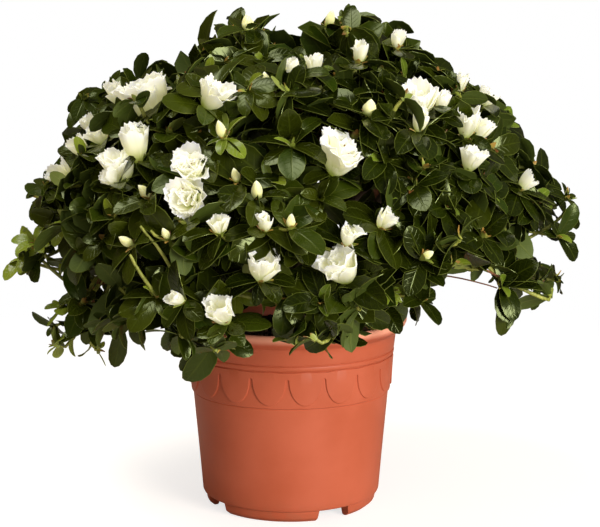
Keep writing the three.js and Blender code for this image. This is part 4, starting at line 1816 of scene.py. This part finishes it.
white_petal = petal_finish(
    "white_petal", colour(0.48, 0.55, 0.07), colour(0.86, 0.84, 0.56), colour(0.93, 0.92, 0.79), 0.65,
)
bud_petal = petal_finish(
    "bud_petal", colour(0.38, 0.46, 0.06), colour(0.84, 0.82, 0.42), colour(0.88, 0.86, 0.52), 0.6,
)


def scale_finish():
    made, tree, shader = new_material("bud_scale", Roughness=0.5)
    on = use_group(tree, sheet, UV=sheet_uv(tree))
    green = mixed(tree, on["Chance"], colour(0.20, 0.26, 0.03), colour(0.42, 0.42, 0.08))
    brown = mixed(tree, on["Tint"], colour(0.22, 0.075, 0.015), colour(0.44, 0.26, 0.05))
    mask = ease(tree, maths(tree, "MULTIPLY_ADD", on["Chance"], 0.9, on["Along"]), 0.85, 1.4)
    plug(tree, shader["Base Color"], mixed(tree, mask, green, brown))
    return made


def stamen_finish():
    made, tree, shader = new_material("stamen", Roughness=0.55)
    on = use_group(tree, sheet, UV=sheet_uv(tree))
    tip_mask = ease(tree, on["Along"], 0.8, 0.9)
    anthers = mixed(tree, tip_mask, colour(0.72, 0.74, 0.45), colour(0.22, 0.09, 0.03))
    plug(tree, shader["Base Color"], anthers)
    return made


add_piece("petals", dealt_mesh("petals", petal_shapes, petal_deals, 80), white_petal)
add_piece("flower_buds", dealt_mesh("flower_buds", bud_shapes, bud_deals, 80), bud_petal)
add_piece("bud_scales", dealt_mesh("bud_scales", scale_shapes, scale_deals), scale_finish())
add_piece("stamens", dealt_mesh("stamens", stamen_shapes, stamen_deals, 60), stamen_finish())

# %% [markdown]
# ## Studio, light and camera
#
# The plant stands on a pale floor that fades into a pale backdrop, so that no edge shows from
# any side. A large soft light stands at the front right, a little above the crown, and a weaker
# one hangs overhead, a little to the left. The air itself is brighter at the front right, as in
# a studio with one white wall. The camera looks slightly down with a long lens.

# %% Studio: floor and air
def studio_floor():
    disc = bmesh.new()
    bmesh.ops.create_circle(disc, cap_ends=True, segments=96, radius=1.4)
    bmesh.ops.translate(disc, verts=disc.verts, vec=(0, 0, -0.4 * mm))
    floor = new_object("floor", finished_mesh(disc, "floor"))
    made, tree, shader = new_material("floor_white", Roughness=0.9, Specular_IOR_Level=0.1)
    where = object_place(tree)
    distance = add(tree, "VectorMath", where, operation="LENGTH").outputs["Value"]
    paper = speckle(tree, where, 2.0, 1)
    plug(tree, shader["Base Color"], mixed(tree, paper, colour(0.54, 0.50, 0.46), colour(0.58, 0.54, 0.50)))
    plug(tree, shader["Alpha"], ease(tree, distance, 0.75, 0.16))
    in_view = tree.nodes.new("ShaderNodeLightPath").outputs["Is Camera Ray"]
    lifted = mixed(tree, in_view, colour(0, 0, 0), colour(0.74, 0.74, 0.74))
    plug(tree, shader["Emission Color"], lifted)
    shader["Emission Strength"].default_value = 1.0
    floor.data.materials.append(made)
    floor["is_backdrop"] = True


def studio_air(dim, bright, seen):
    """Light from all round, between dim and bright, and how bright the backdrop looks."""
    world = bpy.data.worlds.new("studio_air")
    world.use_nodes = True
    tree = world.node_tree
    towards = tree.nodes.new("ShaderNodeTexCoord").outputs["Generated"]
    facing = add(tree, "VectorMath", towards, (0.62, -0.52, 0.58), operation="DOT_PRODUCT")
    glow = ease(tree, facing.outputs["Value"], -0.5, 1.0, dim, bright)
    warmth = ease(tree, facing.outputs["Value"], 0.6, -0.3)
    light_path = tree.nodes.new("ShaderNodeLightPath").outputs
    in_view, in_gloss = light_path["Is Camera Ray"], light_path["Is Glossy Ray"]
    glow = maths(tree, "MULTIPLY", glow, maths(tree, "MULTIPLY_ADD", in_gloss, -0.75, 1.0))
    strength = maths(tree, "MAXIMUM", glow, maths(tree, "MULTIPLY", in_view, seen))
    background = tree.nodes["Background"].inputs
    tone = mixed(tree, warmth, colour(1, 0.985, 0.90), colour(1, 0.74, 0.42))
    plug(tree, background["Color"], mixed(tree, in_view, tone, colour(1, 1, 1)))
    plug(tree, background["Strength"], strength)
    bpy.context.scene.world = world


def soft_light(name, place, target, size, watts, tone):
    lamp = bpy.data.lights.new(name, "AREA")
    lamp.shape = "DISK"
    lamp.size, lamp.energy, lamp.color = size, watts, tone
    obj = new_object(name, lamp)
    obj.location = place
    obj.rotation_euler = (Vector(target) - Vector(place)).to_track_quat("-Z", "Y").to_euler()


studio_floor()
studio_air(dim=0.28, bright=0.50, seen=1.0)
middle = (0, 0, 0.17)
soft_light("key", (0.92, -1.22, 0.42), middle, 0.8, 26, (1.0, 0.965, 0.90))
soft_light("top", (-0.5, -0.3, 1.5), middle, 1.0, 15, (1.0, 0.98, 0.94))
bpy.context.scene.view_settings.view_transform = "Standard"

# %% Camera
lens = bpy.data.cameras.new("camera")
lens.lens, lens.sensor_width = 94.3, 36
camera = new_object("camera", lens)
camera.location = (6 * mm, -1.0, 308 * mm)
camera.rotation_euler = (math.radians(90 - 8.66), 0, 0)
bpy.context.scene.camera = camera

# %% The sizes of the model and of the dressed plant, and the end
bpy.context.view_layer.update()
sizes = {"cad": [list(corner) for corner in cad_box], "visual": [list(corner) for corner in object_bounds()]}
print({name: [[round(x / mm) for x in corner] for corner in box] for name, box in sizes.items()})
